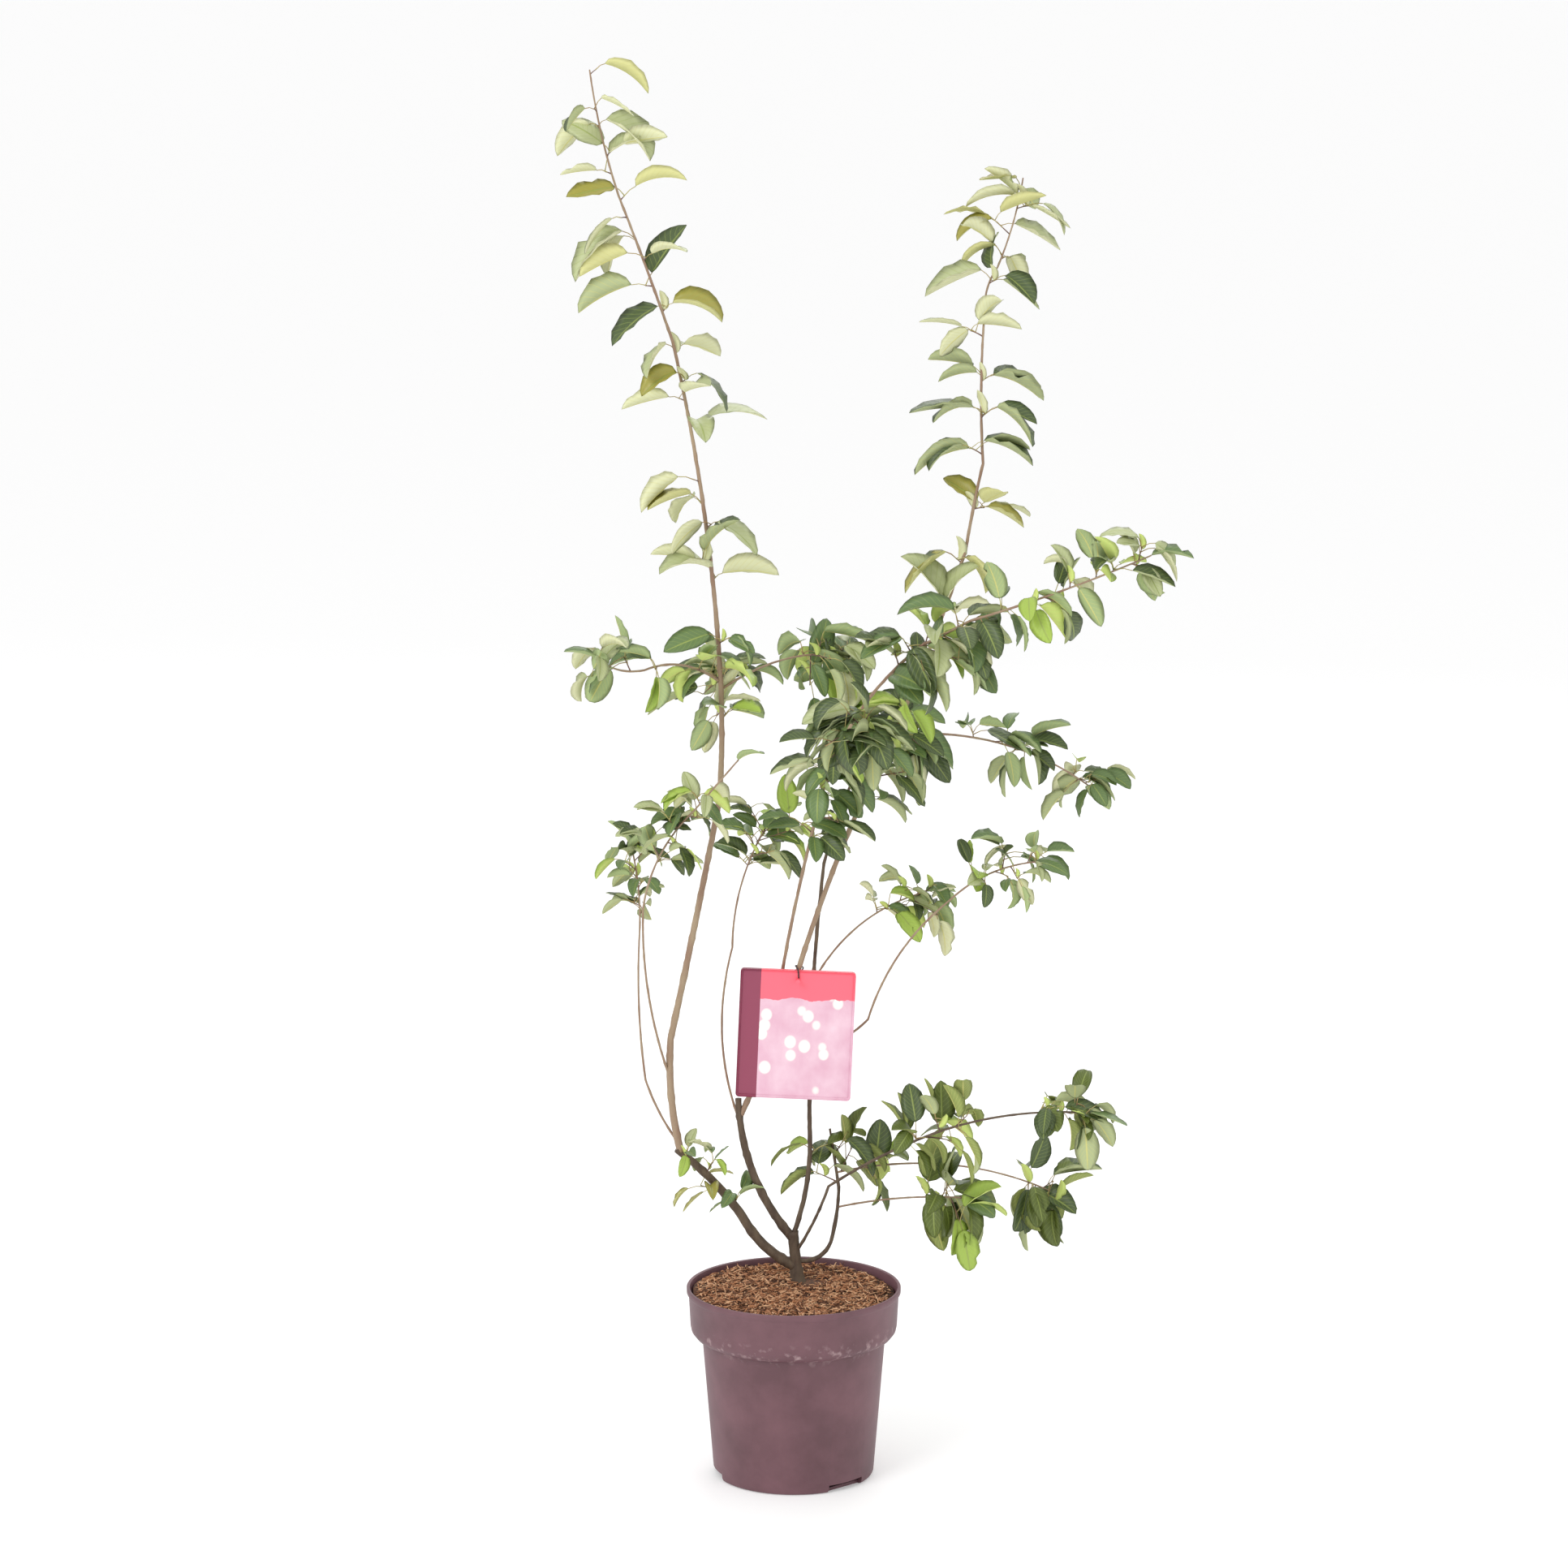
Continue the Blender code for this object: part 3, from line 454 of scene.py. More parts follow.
def mixed(tree, share, first, second):
    """Two colours, mixed by a share of the second."""
    made = node(tree, "ShaderNodeMix", data_type="RGBA")
    for place, given in ((0, share), (6, first), (7, second)):
        feed(tree, made.inputs[place], given)
    return made.outputs[2]


def object_place(tree):
    return tree.nodes.new("ShaderNodeTexCoord").outputs["Object"]


def mottle_group():
    """Two colours mixed in soft patches over Object coordinates, with a height for a bump."""
    group = bpy.data.node_groups.new("Mottle", "ShaderNodeTree")
    for name, kind, default in (
        ("First", "NodeSocketColor", (0.5, 0.5, 0.5, 1)),
        ("Second", "NodeSocketColor", (0.2, 0.2, 0.2, 1)),
        ("Patches", "NodeSocketFloat", 60.0),
        ("Grain", "NodeSocketFloat", 600.0),
        ("Stretch", "NodeSocketVector", (1, 1, 1)),
    ):
        socket = group.interface.new_socket(name=name, in_out="INPUT", socket_type=kind)
        socket.default_value = default
    for name, kind in (("Color", "NodeSocketColor"), ("Height", "NodeSocketFloat")):
        group.interface.new_socket(name=name, in_out="OUTPUT", socket_type=kind)
    given = group.nodes.new("NodeGroupInput").outputs
    end = group.nodes.new("NodeGroupOutput")
    stretch = node(group, "ShaderNodeVectorMath", operation="MULTIPLY")
    feed(group, stretch.inputs[0], object_place(group))
    feed(group, stretch.inputs[1], given["Stretch"])
    place = stretch.outputs[0]
    patches = node(group, "ShaderNodeTexNoise", Vector=place, Scale=given["Patches"],
                   Detail=5.0, Roughness=0.6).outputs["Fac"]
    grain = node(group, "ShaderNodeTexNoise", Vector=place, Scale=given["Grain"],
                 Detail=3.0, Roughness=0.6).outputs["Fac"]
    share = map_range(group, patches, *PATCH_EDGE)
    colour = mixed(group, share, given["First"], given["Second"])
    feed(group, end.inputs["Color"], colour)
    feed(group, end.inputs["Height"], maths(group, "MULTIPLY_ADD", grain, 0.5, patches))
    return group


def mottled(name, first, second, patches, grain, roughness, stretch=(1, 1, 1), bump=0.0003):
    """A material of two colours in patches, with its grain as a bump."""
    material, tree, shader = new_material(name, roughness)
    effect = node(
        tree, "ShaderNodeGroup", node_tree=bpy.data.node_groups.get("Mottle") or mottle_group(),
        First=first, Second=second, Patches=patches, Grain=grain, Stretch=stretch).outputs
    relief = node(tree, "ShaderNodeBump", Distance=bump, Strength=0.6, Height=effect["Height"])
    feed(tree, shader.inputs["Base Color"], effect["Color"])
    feed(tree, shader.inputs["Normal"], relief.outputs["Normal"])
    return material


def leaf_material(name, colour, vein, roughness):
    """Leaf tissue with a paler midrib and side veins, along the blade's own UV map."""
    material, tree, shader = new_material(name, roughness)
    blade = node(tree, "ShaderNodeUVMap", uv_map="blade").outputs["UV"]
    parts = node(tree, "ShaderNodeSeparateXYZ", Vector=blade).outputs
    away = maths(tree, "ABSOLUTE", maths(tree, "SUBTRACT", parts["X"], 0.5))
    midrib = map_range(tree, away, 0.0, MIDRIB, 1.0, 0.0)
    slant = maths(tree, "MULTIPLY_ADD", away, VEIN_SLANT, parts["Y"])
    waves = maths(tree, "SINE", maths(tree, "MULTIPLY", slant, VEIN_PITCH))
    side_veins = map_range(tree, waves, *VEIN_EDGE, top=VEIN_STRENGTH)
    most = maths(tree, "MAXIMUM", midrib, side_veins)
    relief = node(tree, "ShaderNodeBump", Distance=0.0006, Strength=0.5, Height=most)
    feed(tree, shader.inputs["Base Color"], mixed(tree, most, colour, vein))
    feed(tree, shader.inputs["Normal"], relief.outputs["Normal"])
    return material


def plum_plastic(settings):
    """Plum plastic with a matte grain, and paler scuffs in a belt under the collar."""
    material = mottled(
        "plum plastic", tuple(settings.plum), tuple(settings.plum_shade), patches=14,
        grain=1500, roughness=0.52, bump=0.00012)
    tree = material.node_tree
    colour = tree.nodes["Principled BSDF"].inputs["Base Color"]
    plum = colour.links[0].from_socket
    place = object_place(tree)
    height = node(tree, "ShaderNodeSeparateXYZ", Vector=place).outputs["Z"]
    belt = maths(tree, "MULTIPLY", map_range(tree, height, *SCUFFS_ABOVE),
                 map_range(tree, height, *SCUFFS_BELOW))
    scratches = node(tree, "ShaderNodeTexNoise", Vector=place, Scale=120.0, Detail=6.0)
    worn = map_range(tree, scratches.outputs["Fac"], *SCRATCH_EDGE)
    scuffs = maths(tree, "MULTIPLY", belt, worn)
    feed(tree, colour, mixed(tree, scuffs, plum, tone(176, 150, 152)))
    return material


def card_print(settings, middle):
    """A generic print: soft dots on a pink wash, a plum stripe and a coral band."""
    material, tree, shader = new_material("card print", 0.38)
    place = node(
        tree, "ShaderNodeMapping", vector_type="TEXTURE", Vector=object_place(tree),
        Location=middle, Rotation=(0, CARD_TURN, 0),
        Scale=(CARD_SIZE[0], 1, CARD_SIZE[2])).outputs[0]
    parts = node(tree, "ShaderNodeSeparateXYZ", Vector=place).outputs
    brush = node(tree, "ShaderNodeTexNoise", Vector=place, Scale=5.0, Detail=6.0).outputs["Fac"]
    wash = mixed(tree, brush, tuple(settings.wash), tone(240, 215, 225))
    spots = node(tree, "ShaderNodeTexVoronoi", Vector=place, Scale=6.0).outputs["Distance"]
    dotted = mixed(tree, map_range(tree, spots, *DOT_EDGE), wash, tone(244, 240, 232))
    ragged = maths(tree, "MULTIPLY_ADD", brush, BAND_RAGGED, parts["Z"])
    band = maths(tree, "GREATER_THAN", ragged, BAND_EDGE)
    banded = mixed(tree, band, dotted, tuple(settings.band))
    stripe = maths(tree, "LESS_THAN", parts["X"], STRIPE_EDGE)
    feed(tree, shader.inputs["Base Color"], mixed(tree, stripe, banded, tone(140, 60, 85)))
    return material


# Mesh helpers

class Joined:
    """Many small pieces gathered as arrays and made into one mesh."""

    def __init__(self):
        self.points, self.faces, self.slots, self.uvs = [], [], [], []
        self.count = 0

    def add(self, points, faces, slots=0, uvs=None):
        self.points.append(points)
        self.faces.append(faces + self.count)
        self.slots.append(np.broadcast_to(slots, (len(faces),)))
        self.uvs.append(np.zeros((len(faces), faces.shape[1], 2)) if uvs is None else uvs[faces])
        self.count += len(points)

    def build(self, name, materials):
        mesh = bpy.data.meshes.new(name)
        faces = np.concatenate(self.faces)
        mesh.from_pydata(np.concatenate(self.points).tolist(), [], faces.tolist())
        for material in materials:
            mesh.materials.append(material)
        mesh.polygons.foreach_set("material_index", np.concatenate(self.slots).astype(np.int32))
        layer = mesh.uv_layers.new(name="blade")
        layer.data.foreach_set("uv", np.concatenate(self.uvs).reshape(-1))
        mesh.shade_smooth()
        item = bpy.data.objects.new(name, mesh)
        bpy.context.scene.collection.objects.link(item)
        return item


def ring_faces(rings, sides):
    """Quads between rings of points, and fans of quads over both ends. An even number of sides
    closes the ends, and an odd one leaves the last corner of each open."""
    faces = []
    for ring in range(rings - 1):
        for k in range(sides):
            after = (k + 1) % sides
            faces.append((
                ring * sides + k, ring * sides + after,
                (ring + 1) * sides + after, (ring + 1) * sides + k,
            ))
    last = (rings - 1) * sides
    for k in range(1, sides - 1, 2):
        far = min(k + 2, sides)
        faces.append((0, far % sides, k + 1, k))
        faces.append((last, last + k, last + k + 1, last + far % sides))
    return np.array(faces)


def tube_points(points, radii, sides):
    """Rings of points round a line, carried along it without twisting."""
    rings = []
    side = Vector((0.93, 0.31, 0.17))
    for i, (point, radius) in enumerate(zip(points, radii)):
        heading = (points[min(i + 1, len(points) - 1)] - points[max(i - 1, 0)]).normalized()
        side = (side - heading * side.dot(heading)).normalized()
        other = heading.cross(side)
        for k in range(sides):
            turn = math.tau * k / sides
            rings.append(point + (side * math.cos(turn) + other * math.sin(turn)) * radius)
    return np.array([tuple(p) for p in rings])


RING_FACES = {}  # by numbers of rings and sides


def add_tube(joined, points, radii, sides=4):
    key = (len(points), sides)
    if key not in RING_FACES:
        RING_FACES[key] = ring_faces(*key)
    joined.add(tube_points(points, radii, sides), RING_FACES[key])


def keep_piece(item, nodes=()):
    """Finish a piece: it rides with the plant and stands for its nodes."""
    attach(item, BODY)
    if nodes:
        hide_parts(*nodes)


def deselect():
    if bpy.context.object and bpy.context.object.mode != "OBJECT":
        bpy.ops.object.mode_set(mode="OBJECT")
    bpy.ops.object.select_all(action="DESELECT")


def select_only(item):
    deselect()
    item.select_set(True)
    bpy.context.view_layer.objects.active = item


def apply_place(item):
    select_only(item)
    bpy.ops.object.transform_apply(location=True, rotation=True, scale=True)


def cut_away(item, cutter):
    """Take a cutter's shape out of an item, and remove the cutter."""
    cut = item.modifiers.new("cut", "BOOLEAN")
    cut.operation = "DIFFERENCE"
    cut.solver = "EXACT"
    cut.object = cutter
    select_only(item)
    bpy.ops.object.modifier_apply(modifier=cut.name)
    bpy.data.objects.remove(cutter, do_unlink=True)


# Limbs

def place_on(line, along):
    """The point at a share of a line's length."""
    lengths = [(b - a).length for a, b in zip(line, line[1:])]
    left = along * sum(lengths)
    for a, b, length in zip(line, line[1:], lengths):
        if left <= length or b is line[-1]:
            return a.lerp(b, left / length)
        left -= length


def leg_points(start, leg):
    """Points of a leg after its start, bowed off the straight line."""
    end, bow = Vector(leg.end), Vector(leg.bow)
    steps = max(3, round((end - start).length / RING_SPACING))
    return [
        start.lerp(end, i / steps) + bow * (4 * i / steps * (1 - i / steps))
        for i in range(1, steps + 1)
    ]


def limb_lines():
    """The middle line and radii of the trunk and of each limb, by name."""
    points = [TRUNK_FOOT.lerp(TRUNK_FORK, i / TRUNK_STEPS) for i in range(TRUNK_STEPS + 1)]
    radii = []
    for point in points:
        flare = max(0.0, 1 - (point.z - TRUNK_FOOT.z) / FLARE_HEIGHT) ** 2
        radii.append(TRUNK_RADIUS + (FLARE_RADIUS - TRUNK_RADIUS) * flare)
    lines = {"trunk": (points, radii)}
    for limb in LIMBS:
        points = [place_on(lines[limb.parent][0], limb.along)]
        for leg in limb.legs:
            points += leg_points(points[-1], leg)
        last = len(points) - 1
        radii = [limb.thick + (limb.thin - limb.thick) * i / last for i in range(last + 1)]
        lines[limb.name] = (points, radii)
    return lines


def knotted(points, radii):
    """A limb's radii, swollen at knots that stand evenly along it."""
    swollen = []
    travelled = 0.0
    for i, radius in enumerate(radii):
        travelled += (points[i] - points[i - 1]).length if i else 0.0
        knot = math.exp(-((travelled % KNOT_SPACING - KNOT_PLACE) / KNOT_WIDTH) ** 2)
        swollen.append(radius * (1 + KNOT_SWELL * knot))
    return swollen


def lumpy_rings(points, radii, sides, relief, number):
    """Rings of points round a limb, in and out with the bark's lumps."""
    rings = tube_points(points, radii, sides)
    for k, spot in enumerate(rings):
        centre = np.array(points[k // sides])
        bump = noise.noise(Vector(spot) * BARK_LUMPS + Vector((number, 0, 0)))
        out = spot - centre
        radius = np.linalg.norm(out)
        lump = min(relief, radius * LUMP_SHARE) * bump
        rings[k] = centre + out * (1 + lump / radius)
    return rings


# Leaves

def blade_mesh():
    """Faces, slots and UVs of a blade: an upper sheet and an underside that share its edge."""
    rows, columns = len(ROWS), len(COLUMNS)
    top = np.arange(rows * columns).reshape(rows, columns)
    under = top.copy()
    inner = (rows - 2) * (columns - 2)
    under[1:-1, 1:-1] = rows * columns + np.arange(inner).reshape(rows - 2, columns - 2)
    faces, slots = [], []
    for i in range(rows - 1):
        for j in range(columns - 1):
            faces.append((top[i, j], top[i, j + 1], top[i + 1, j + 1], top[i + 1, j]))
            slots.append(0)
            faces.append((under[i, j], under[i + 1, j], under[i + 1, j + 1], under[i, j + 1]))
            slots.append(1)
    upper = np.stack(np.meshgrid(0.5 + COLUMNS / 2, ROWS), axis=-1)
    uvs = np.concatenate((upper.reshape(-1, 2), upper[1:-1, 1:-1].reshape(-1, 2)))
    return np.array(faces), np.array(slots), uvs


BLADE_MESH = blade_mesh()


def add_blade(joined, base, way, up, length, rng):
    """A leaf blade: folded along its midrib, drooping to its tip, and slightly wavy."""
    half_width = length * rng.uniform(*HALF_WIDTH)
    fold = math.radians(rng.uniform(*FOLD))
    bend = math.radians(rng.uniform(*DROOP)) * ROWS
    cup = rng.uniform(*CUP)
    wave = rng.uniform(*WAVE)
    phase = rng.uniform(0, math.tau)
    side = np.array(way.cross(up).normalized())
    way, up = np.array(way), np.array(up)
    step = np.diff(ROWS, prepend=0.0) * length
    heading = np.cos(bend)[:, None] * way - np.sin(bend)[:, None] * up
    lift = np.cos(bend)[:, None] * up + np.sin(bend)[:, None] * way
    spine = np.array(base) + np.cumsum(heading * step[:, None], axis=0)
    edge = OUTLINE[:, None] * half_width * np.abs(COLUMNS)[None, :]
    if rng.random() < BITE_CHANCE:
        row, column = rng.randrange(*BITE_ROWS), rng.choice((0, len(COLUMNS) - 1))
        edge[row, column] *= rng.uniform(*BITE_LEFT)
    across = np.sign(COLUMNS)[None, :] * edge * math.cos(fold)
    ripple = np.sin(ROWS[:, None] * WAVE_PITCH + phase + COLUMNS[None, :] * WAVE_SKEW)
    rise = edge * math.sin(fold) + cup * edge * np.abs(COLUMNS)[None, :] + wave * edge * ripple
    top = spine[:, None, :] + across[:, :, None] * side + rise[:, :, None] * lift[:, None, :]
    under = top[1:-1, 1:-1] - lift[1:-1, None, :] * BLADE_THICKNESS
    points = np.concatenate((top.reshape(-1, 3), under.reshape(-1, 3)))
    joined.add(points, *BLADE_MESH)


def pick(rng, kinds):
    """One of the kinds, drawn by weight."""
    total = sum(weight for _, weight in kinds)
    mark = rng.uniform(0, total)
    for kind, weight in kinds:
        mark -= weight
        if mark <= 0:
            return kind
    return kinds[-1][0]


def near_up(rng, spread):
    """A direction scattered about the vertical."""
    return Vector((rng.gauss(0, spread), rng.gauss(0, spread), 1.0))


def squared(vector, axis):
    """A vector's own direction, made square to an axis."""
    return (vector - axis * vector.dot(axis)).normalized()


def turned_about(axis, turn):
    """A direction square to an axis and turned about it."""
    around = axis.orthogonal().normalized()
    return around * math.cos(turn) + axis.cross(around) * math.sin(turn)


class Egg:
    """The egg shape that fills a mass's box."""

    def __init__(self, mass):
        low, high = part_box(mass)
        self.middle, self.half = (low + high) / 2, (high - low) / 2

    def out(self, point):
        """How far out a point lies: 0 in the middle, 1 on the surface."""
        sizes = zip(point, self.middle, self.half)
        return math.sqrt(sum(((p - m) / h) ** 2 for p, m, h in sizes))


class Growth:
    """Twigs, leaf stalks and leaves, grown from the limbs by a seeded rule."""

    def __init__(self, settings):
        self.settings = settings
        self.rng = Random(PLANT_SEED)
        self.lines = limb_lines()
        self.twigs = Joined()
        self.stalks = Joined()
        self.leaves = {kind: Joined() for kind in LEAF_KINDS}

    def add_spray(self, spray):
        """The shoots of a mass, spread along the limbs inside it."""
        egg = Egg(spray.mass)
        roots = []
        for points, radii in self.lines.values():
            for i in range(1, len(points), 2):
                if egg.out(points[i]) < ROOT_REACH:
                    heading = (points[i] - points[i - 1]).normalized()
                    roots.append((points[i], heading, radii[i]))
        left = max(1, round(spray.leaves * self.settings.leaf_count))
        most = CLOSE_LEAVES if spray.reach < CLOSE_REACH else OPEN_LEAVES
        shoots = math.ceil(left / most)
        for number in range(shoots):
            at = int((number + self.rng.uniform(*ROOT_SHIFT)) / shoots * len(roots))
            many = min(left, most)
            self.add_shoot(spray, egg, roots[min(len(roots) - 1, at)], number, many)
            left -= many

    def add_shoot(self, spray, egg, root, number, many):
        """A twig with leaves set alternately on it, and now and then a young leaf."""
        start, heading, radius = root
        rng = self.rng
        turn = number * GOLDEN_TURN + rng.uniform(*SHOOT_SCATTER)
        way = turned_about(heading, turn) + heading * rng.uniform(*SHOOT_LEAN) + RISE
        way.normalize()
        reach = 0.0
        while reach < SHOOT_LIMIT and egg.out(start + way * reach) < SHOOT_EDGE:
            reach += SHOOT_FEELER
        reach = max(SHOOT_LEAST, reach * spray.reach)
        sag = Vector((0, 0, -1)) * reach * rng.uniform(*SHOOT_SAG)
        steps = range(SHOOT_STEPS + 1)
        line = [
            start + way * reach * i / SHOOT_STEPS + sag * (i / SHOOT_STEPS) ** 2 for i in steps
        ]
        thick = min(radius * TWIG_SHARE, TWIG_ROOT + reach * TWIG_TAPER)
        radii = [thick + (TWIG_TIP - thick) * i / SHOOT_STEPS for i in steps]
        add_tube(self.twigs, line, radii, SHOOT_SIDES)
        kind = pick(rng, spray.kinds)
        for place in range(many):
            base = place_on(line, FIRST_LEAF + (1 - FIRST_LEAF) * ((place + 1) / many))
            self.add_leaf(spray, egg, base, heading, way, turn + math.pi * place, kind)
        if rng.random() < YOUNG_CHANCE:
            base = place_on(line, rng.uniform(*YOUNG_PLACE))
            up = near_up(rng, YOUNG_ROLL).normalized()
            length = spray.length * rng.uniform(*YOUNG_LENGTH)
            young = "pale" if spray.kinds is LEADER else "lime"
            add_blade(self.leaves[young], base, up, up.orthogonal().normalized(), length, rng)

    def add_leaf(self, spray, egg, start, heading, way, turn, kind):
        """A leaf on its stalk: the first try whose tip is in the mass, or else the nearest."""
        rng = self.rng
        best = None
        for _ in range(LEAF_TRIES):
            out = turned_about(heading, turn + rng.uniform(*LEAF_SCATTER))
            lead = (out + way * rng.uniform(*LEAF_LEAN) + RISE).normalized()
            base = start + lead * rng.uniform(*STALK_LENGTH)
            aim = (lead + Vector((0, 0, -rng.uniform(*LEAF_FALL)))).normalized()
            length = spray.length * rng.uniform(*LEAF_LENGTH) * self.settings.leaf_size
            tip_out = egg.out(base + aim * length)
            if best is None or tip_out < best[0]:
                best = (tip_out, base, aim, length)
            if tip_out < 1.0:
                break
        _, base, aim, length = best
        middle = start.lerp(base, STALK_MIDDLE) + STALK_BOW
        add_tube(self.stalks, [start, middle, base], STALK_RADII)
        upright = squared(near_up(rng, LEAF_ROLL), aim)
        if rng.random() >= OWN_KIND:
            kind = pick(rng, spray.kinds)
        add_blade(self.leaves[kind], base, aim, upright, length, rng)

    def add_tip_leaf(self, limb):
        """The leaf that ends a limb, with its blade carrying the limb's line on."""
        before, end = self.lines[limb][0][-2:]
        aim = ((end - before).normalized() + TIP_FALL).normalized()
        upright = squared(near_up(self.rng, YOUNG_ROLL), aim)
        length = TIP_LEAF * self.rng.uniform(*TIP_LENGTH)
        add_blade(self.leaves["green"], end, aim, upright, length, self.rng)


# Mulch

def soil_height(x, y):
    """Height of the mulch, a little higher to the back left, with a dip beside the trunk."""
    swell = noise.noise(Vector((x * SOIL_WAVES, y * SOIL_WAVES, 2.0))) * SOIL_SWELL
    aside = math.hypot(x - TRUNK_FOOT.x - HOLLOW_ASIDE[0], y - TRUNK_FOOT.y - HOLLOW_ASIDE[1])
    dip = HOLLOW_DEPTH * math.exp(-(aside / HOLLOW_WIDTH) ** 2)
    return SOIL_LEVEL + x * SOIL_TILT[0] + y * SOIL_TILT[1] + swell - dip


def add_chip(chips, rng, longest):
    """A splinter lying on the bed, thinner at its ends."""
    distance = (SOIL_RADIUS - BED_RIM) * math.sqrt(rng.random())
    angle = rng.uniform(0, math.tau)
    x, y = distance * math.cos(angle), distance * math.sin(angle)
    if math.hypot(x - TRUNK_FOOT.x, y - TRUNK_FOOT.y) < TRUNK_CLEAR:
        return
    length = longest * rng.uniform(*CHIP_LENGTH) ** CHIP_POWER
    turn = rng.uniform(0, math.tau)
    tilt = rng.gauss(0, CHIP_TILT)
    way = Vector((math.cos(turn) * math.cos(tilt), math.sin(turn) * math.cos(tilt),
                  math.sin(tilt)))
    middle = Vector((x, y, soil_height(x, y) + rng.uniform(*CHIP_LIFT)))
    bend = Vector((rng.gauss(0, 1), rng.gauss(0, 1), rng.gauss(0, 1))) * length * CHIP_BEND
    thick = rng.uniform(*CHIP_THICKNESS)
    line = [middle - way * length / 2, middle + bend, middle + way * length / 2]
    for point in line:
        far = point.xy.length
        if far > SOIL_RADIUS:
            point.x *= SOIL_RADIUS / far
            point.y *= SOIL_RADIUS / far
    add_tube(chips, line, [thick * CHIP_ENDS[0], thick, thick * CHIP_ENDS[1]])


# Settings that a user would change

class PlantSettings(bpy.types.PropertyGroup):
    leaf_count: bpy.props.FloatProperty(
        name="Leaf count", description="Leaves in each mass, as a share of its spray's number",
        default=1.35)
    leaf_size: bpy.props.FloatProperty(
        name="Leaf size", description="Length of a leaf, as a share of the usual", default=1.0)
    bark_relief: bpy.props.FloatProperty(
        name="Bark relief", description="Height of the bark's lumps", default=0.0005,
        unit="LENGTH")


class PotSettings(bpy.types.PropertyGroup):
    plum: bpy.props.FloatVectorProperty(
        name="Plum", description="Colour of the pot where light falls", subtype="COLOR", size=4,
        default=tone(112, 76, 84))
    plum_shade: bpy.props.FloatVectorProperty(
        name="Plum shade", description="Colour of the pot's darker patches", subtype="COLOR",
        size=4, default=tone(92, 60, 67))
    chip_length: bpy.props.FloatProperty(
        name="Chip length", description="Longest chip of the mulch", default=0.014,
        unit="LENGTH")


class CardSettings(bpy.types.PropertyGroup):
    wash: bpy.props.FloatVectorProperty(
        name="Wash", description="Colour of the card's upper wash", subtype="COLOR", size=4,
        default=tone(205, 140, 168))
    band: bpy.props.FloatVectorProperty(
        name="Band", description="Colour of the card's coral band", subtype="COLOR", size=4,
        default=tone(250, 104, 122))


# Pieces, each as an operator

class PLANT_OT_stage(bpy.types.Operator):
    """A wide pale floor, soft studio light and the camera"""
    bl_idname = "plant.stage"
    bl_label = "Stage"

    def execute(self, context):
        scene = context.scene
        deselect()
        bpy.ops.mesh.primitive_plane_add(size=FLOOR_SIZE, location=(0, 0, 0))
        floor = context.object
        floor.name = "floor"
        material, _, shader = new_material("pale floor", 0.9)
        shader.inputs["Base Color"].default_value = FLOOR_COLOUR
        shader.inputs["Emission Color"].default_value = WHITE
        shader.inputs["Emission Strength"].default_value = FLOOR_GLOW
        floor.data.materials.append(material)
        world = bpy.data.worlds.new("studio")
        world.use_nodes = True
        background = world.node_tree.nodes["Background"]
        background.inputs["Color"].default_value = WHITE
        background.inputs["Strength"].default_value = SKY_STRENGTH
        scene.world = world
        for name, place, size, power in LAMPS:
            lamp = bpy.data.lights.new(name, "AREA")
            lamp.size = size
            lamp.energy = power
            light = bpy.data.objects.new(name, lamp)
            light.location = place
            aim = LAMP_AIM - Vector(place)
            light.rotation_euler = aim.to_track_quat("-Z", "Y").to_euler()
            scene.collection.objects.link(light)
        lens = bpy.data.cameras.new("view")
        lens.sensor_width = CAMERA_SENSOR
        lens.lens = CAMERA_LENS
        camera = bpy.data.objects.new("view", lens)
        camera.location = CAMERA_PLACE
        camera.rotation_euler = (CAMERA_PITCH, 0, 0)
        scene.collection.objects.link(camera)
        scene.camera = camera
        scene.view_settings.view_transform = "Standard"
        return {"FINISHED"}


class PLANT_OT_pot(bpy.types.Operator):
    """The nursery pot, turned from its profile, with three notches in its foot"""
    bl_idname = "plant.pot"
    bl_label = "Pot"

    def execute(self, context):
        deselect()
        radius, height = POT_PROFILE[0]
        bpy.ops.mesh.primitive_circle_add(
            vertices=POT_SIDES, radius=radius, fill_type="NGON", location=(0, 0, height))
        pot = context.object
        pot.name = "pot_shell"
        bpy.ops.object.mode_set(mode="EDIT")
        bpy.ops.mesh.select_all(action="SELECT")
        for before, after in zip(POT_PROFILE, POT_PROFILE[1:]):
            bpy.ops.mesh.extrude_region_move(
                TRANSFORM_OT_translate={"value": (0, 0, after[1] - before[1])})
            share = after[0] / before[0]
            bpy.ops.transform.resize(value=(share, share, 1), center_override=(0, 0, 0))
        bpy.ops.mesh.select_all(action="SELECT")
        bpy.ops.mesh.normals_make_consistent(inside=False)
        bpy.ops.object.mode_set(mode="OBJECT")
        for angle in NOTCH_ANGLES:
            turn = math.radians(angle - 90)
            deselect()
            bpy.ops.mesh.primitive_cube_add(
                size=1, rotation=(0, 0, turn + math.pi / 2),
                location=(NOTCH_RADIUS * math.cos(turn), NOTCH_RADIUS * math.sin(turn), 0))
            block = context.object
            block.scale = NOTCH_SIZE
            cut_away(pot, block)
        apply_place(pot)
        bpy.ops.object.shade_smooth_by_angle(angle=POT_CREASE)
        pot.data.materials.append(plum_plastic(context.scene.pot))
        keep_piece(pot, ["pot"])
        return {"FINISHED"}


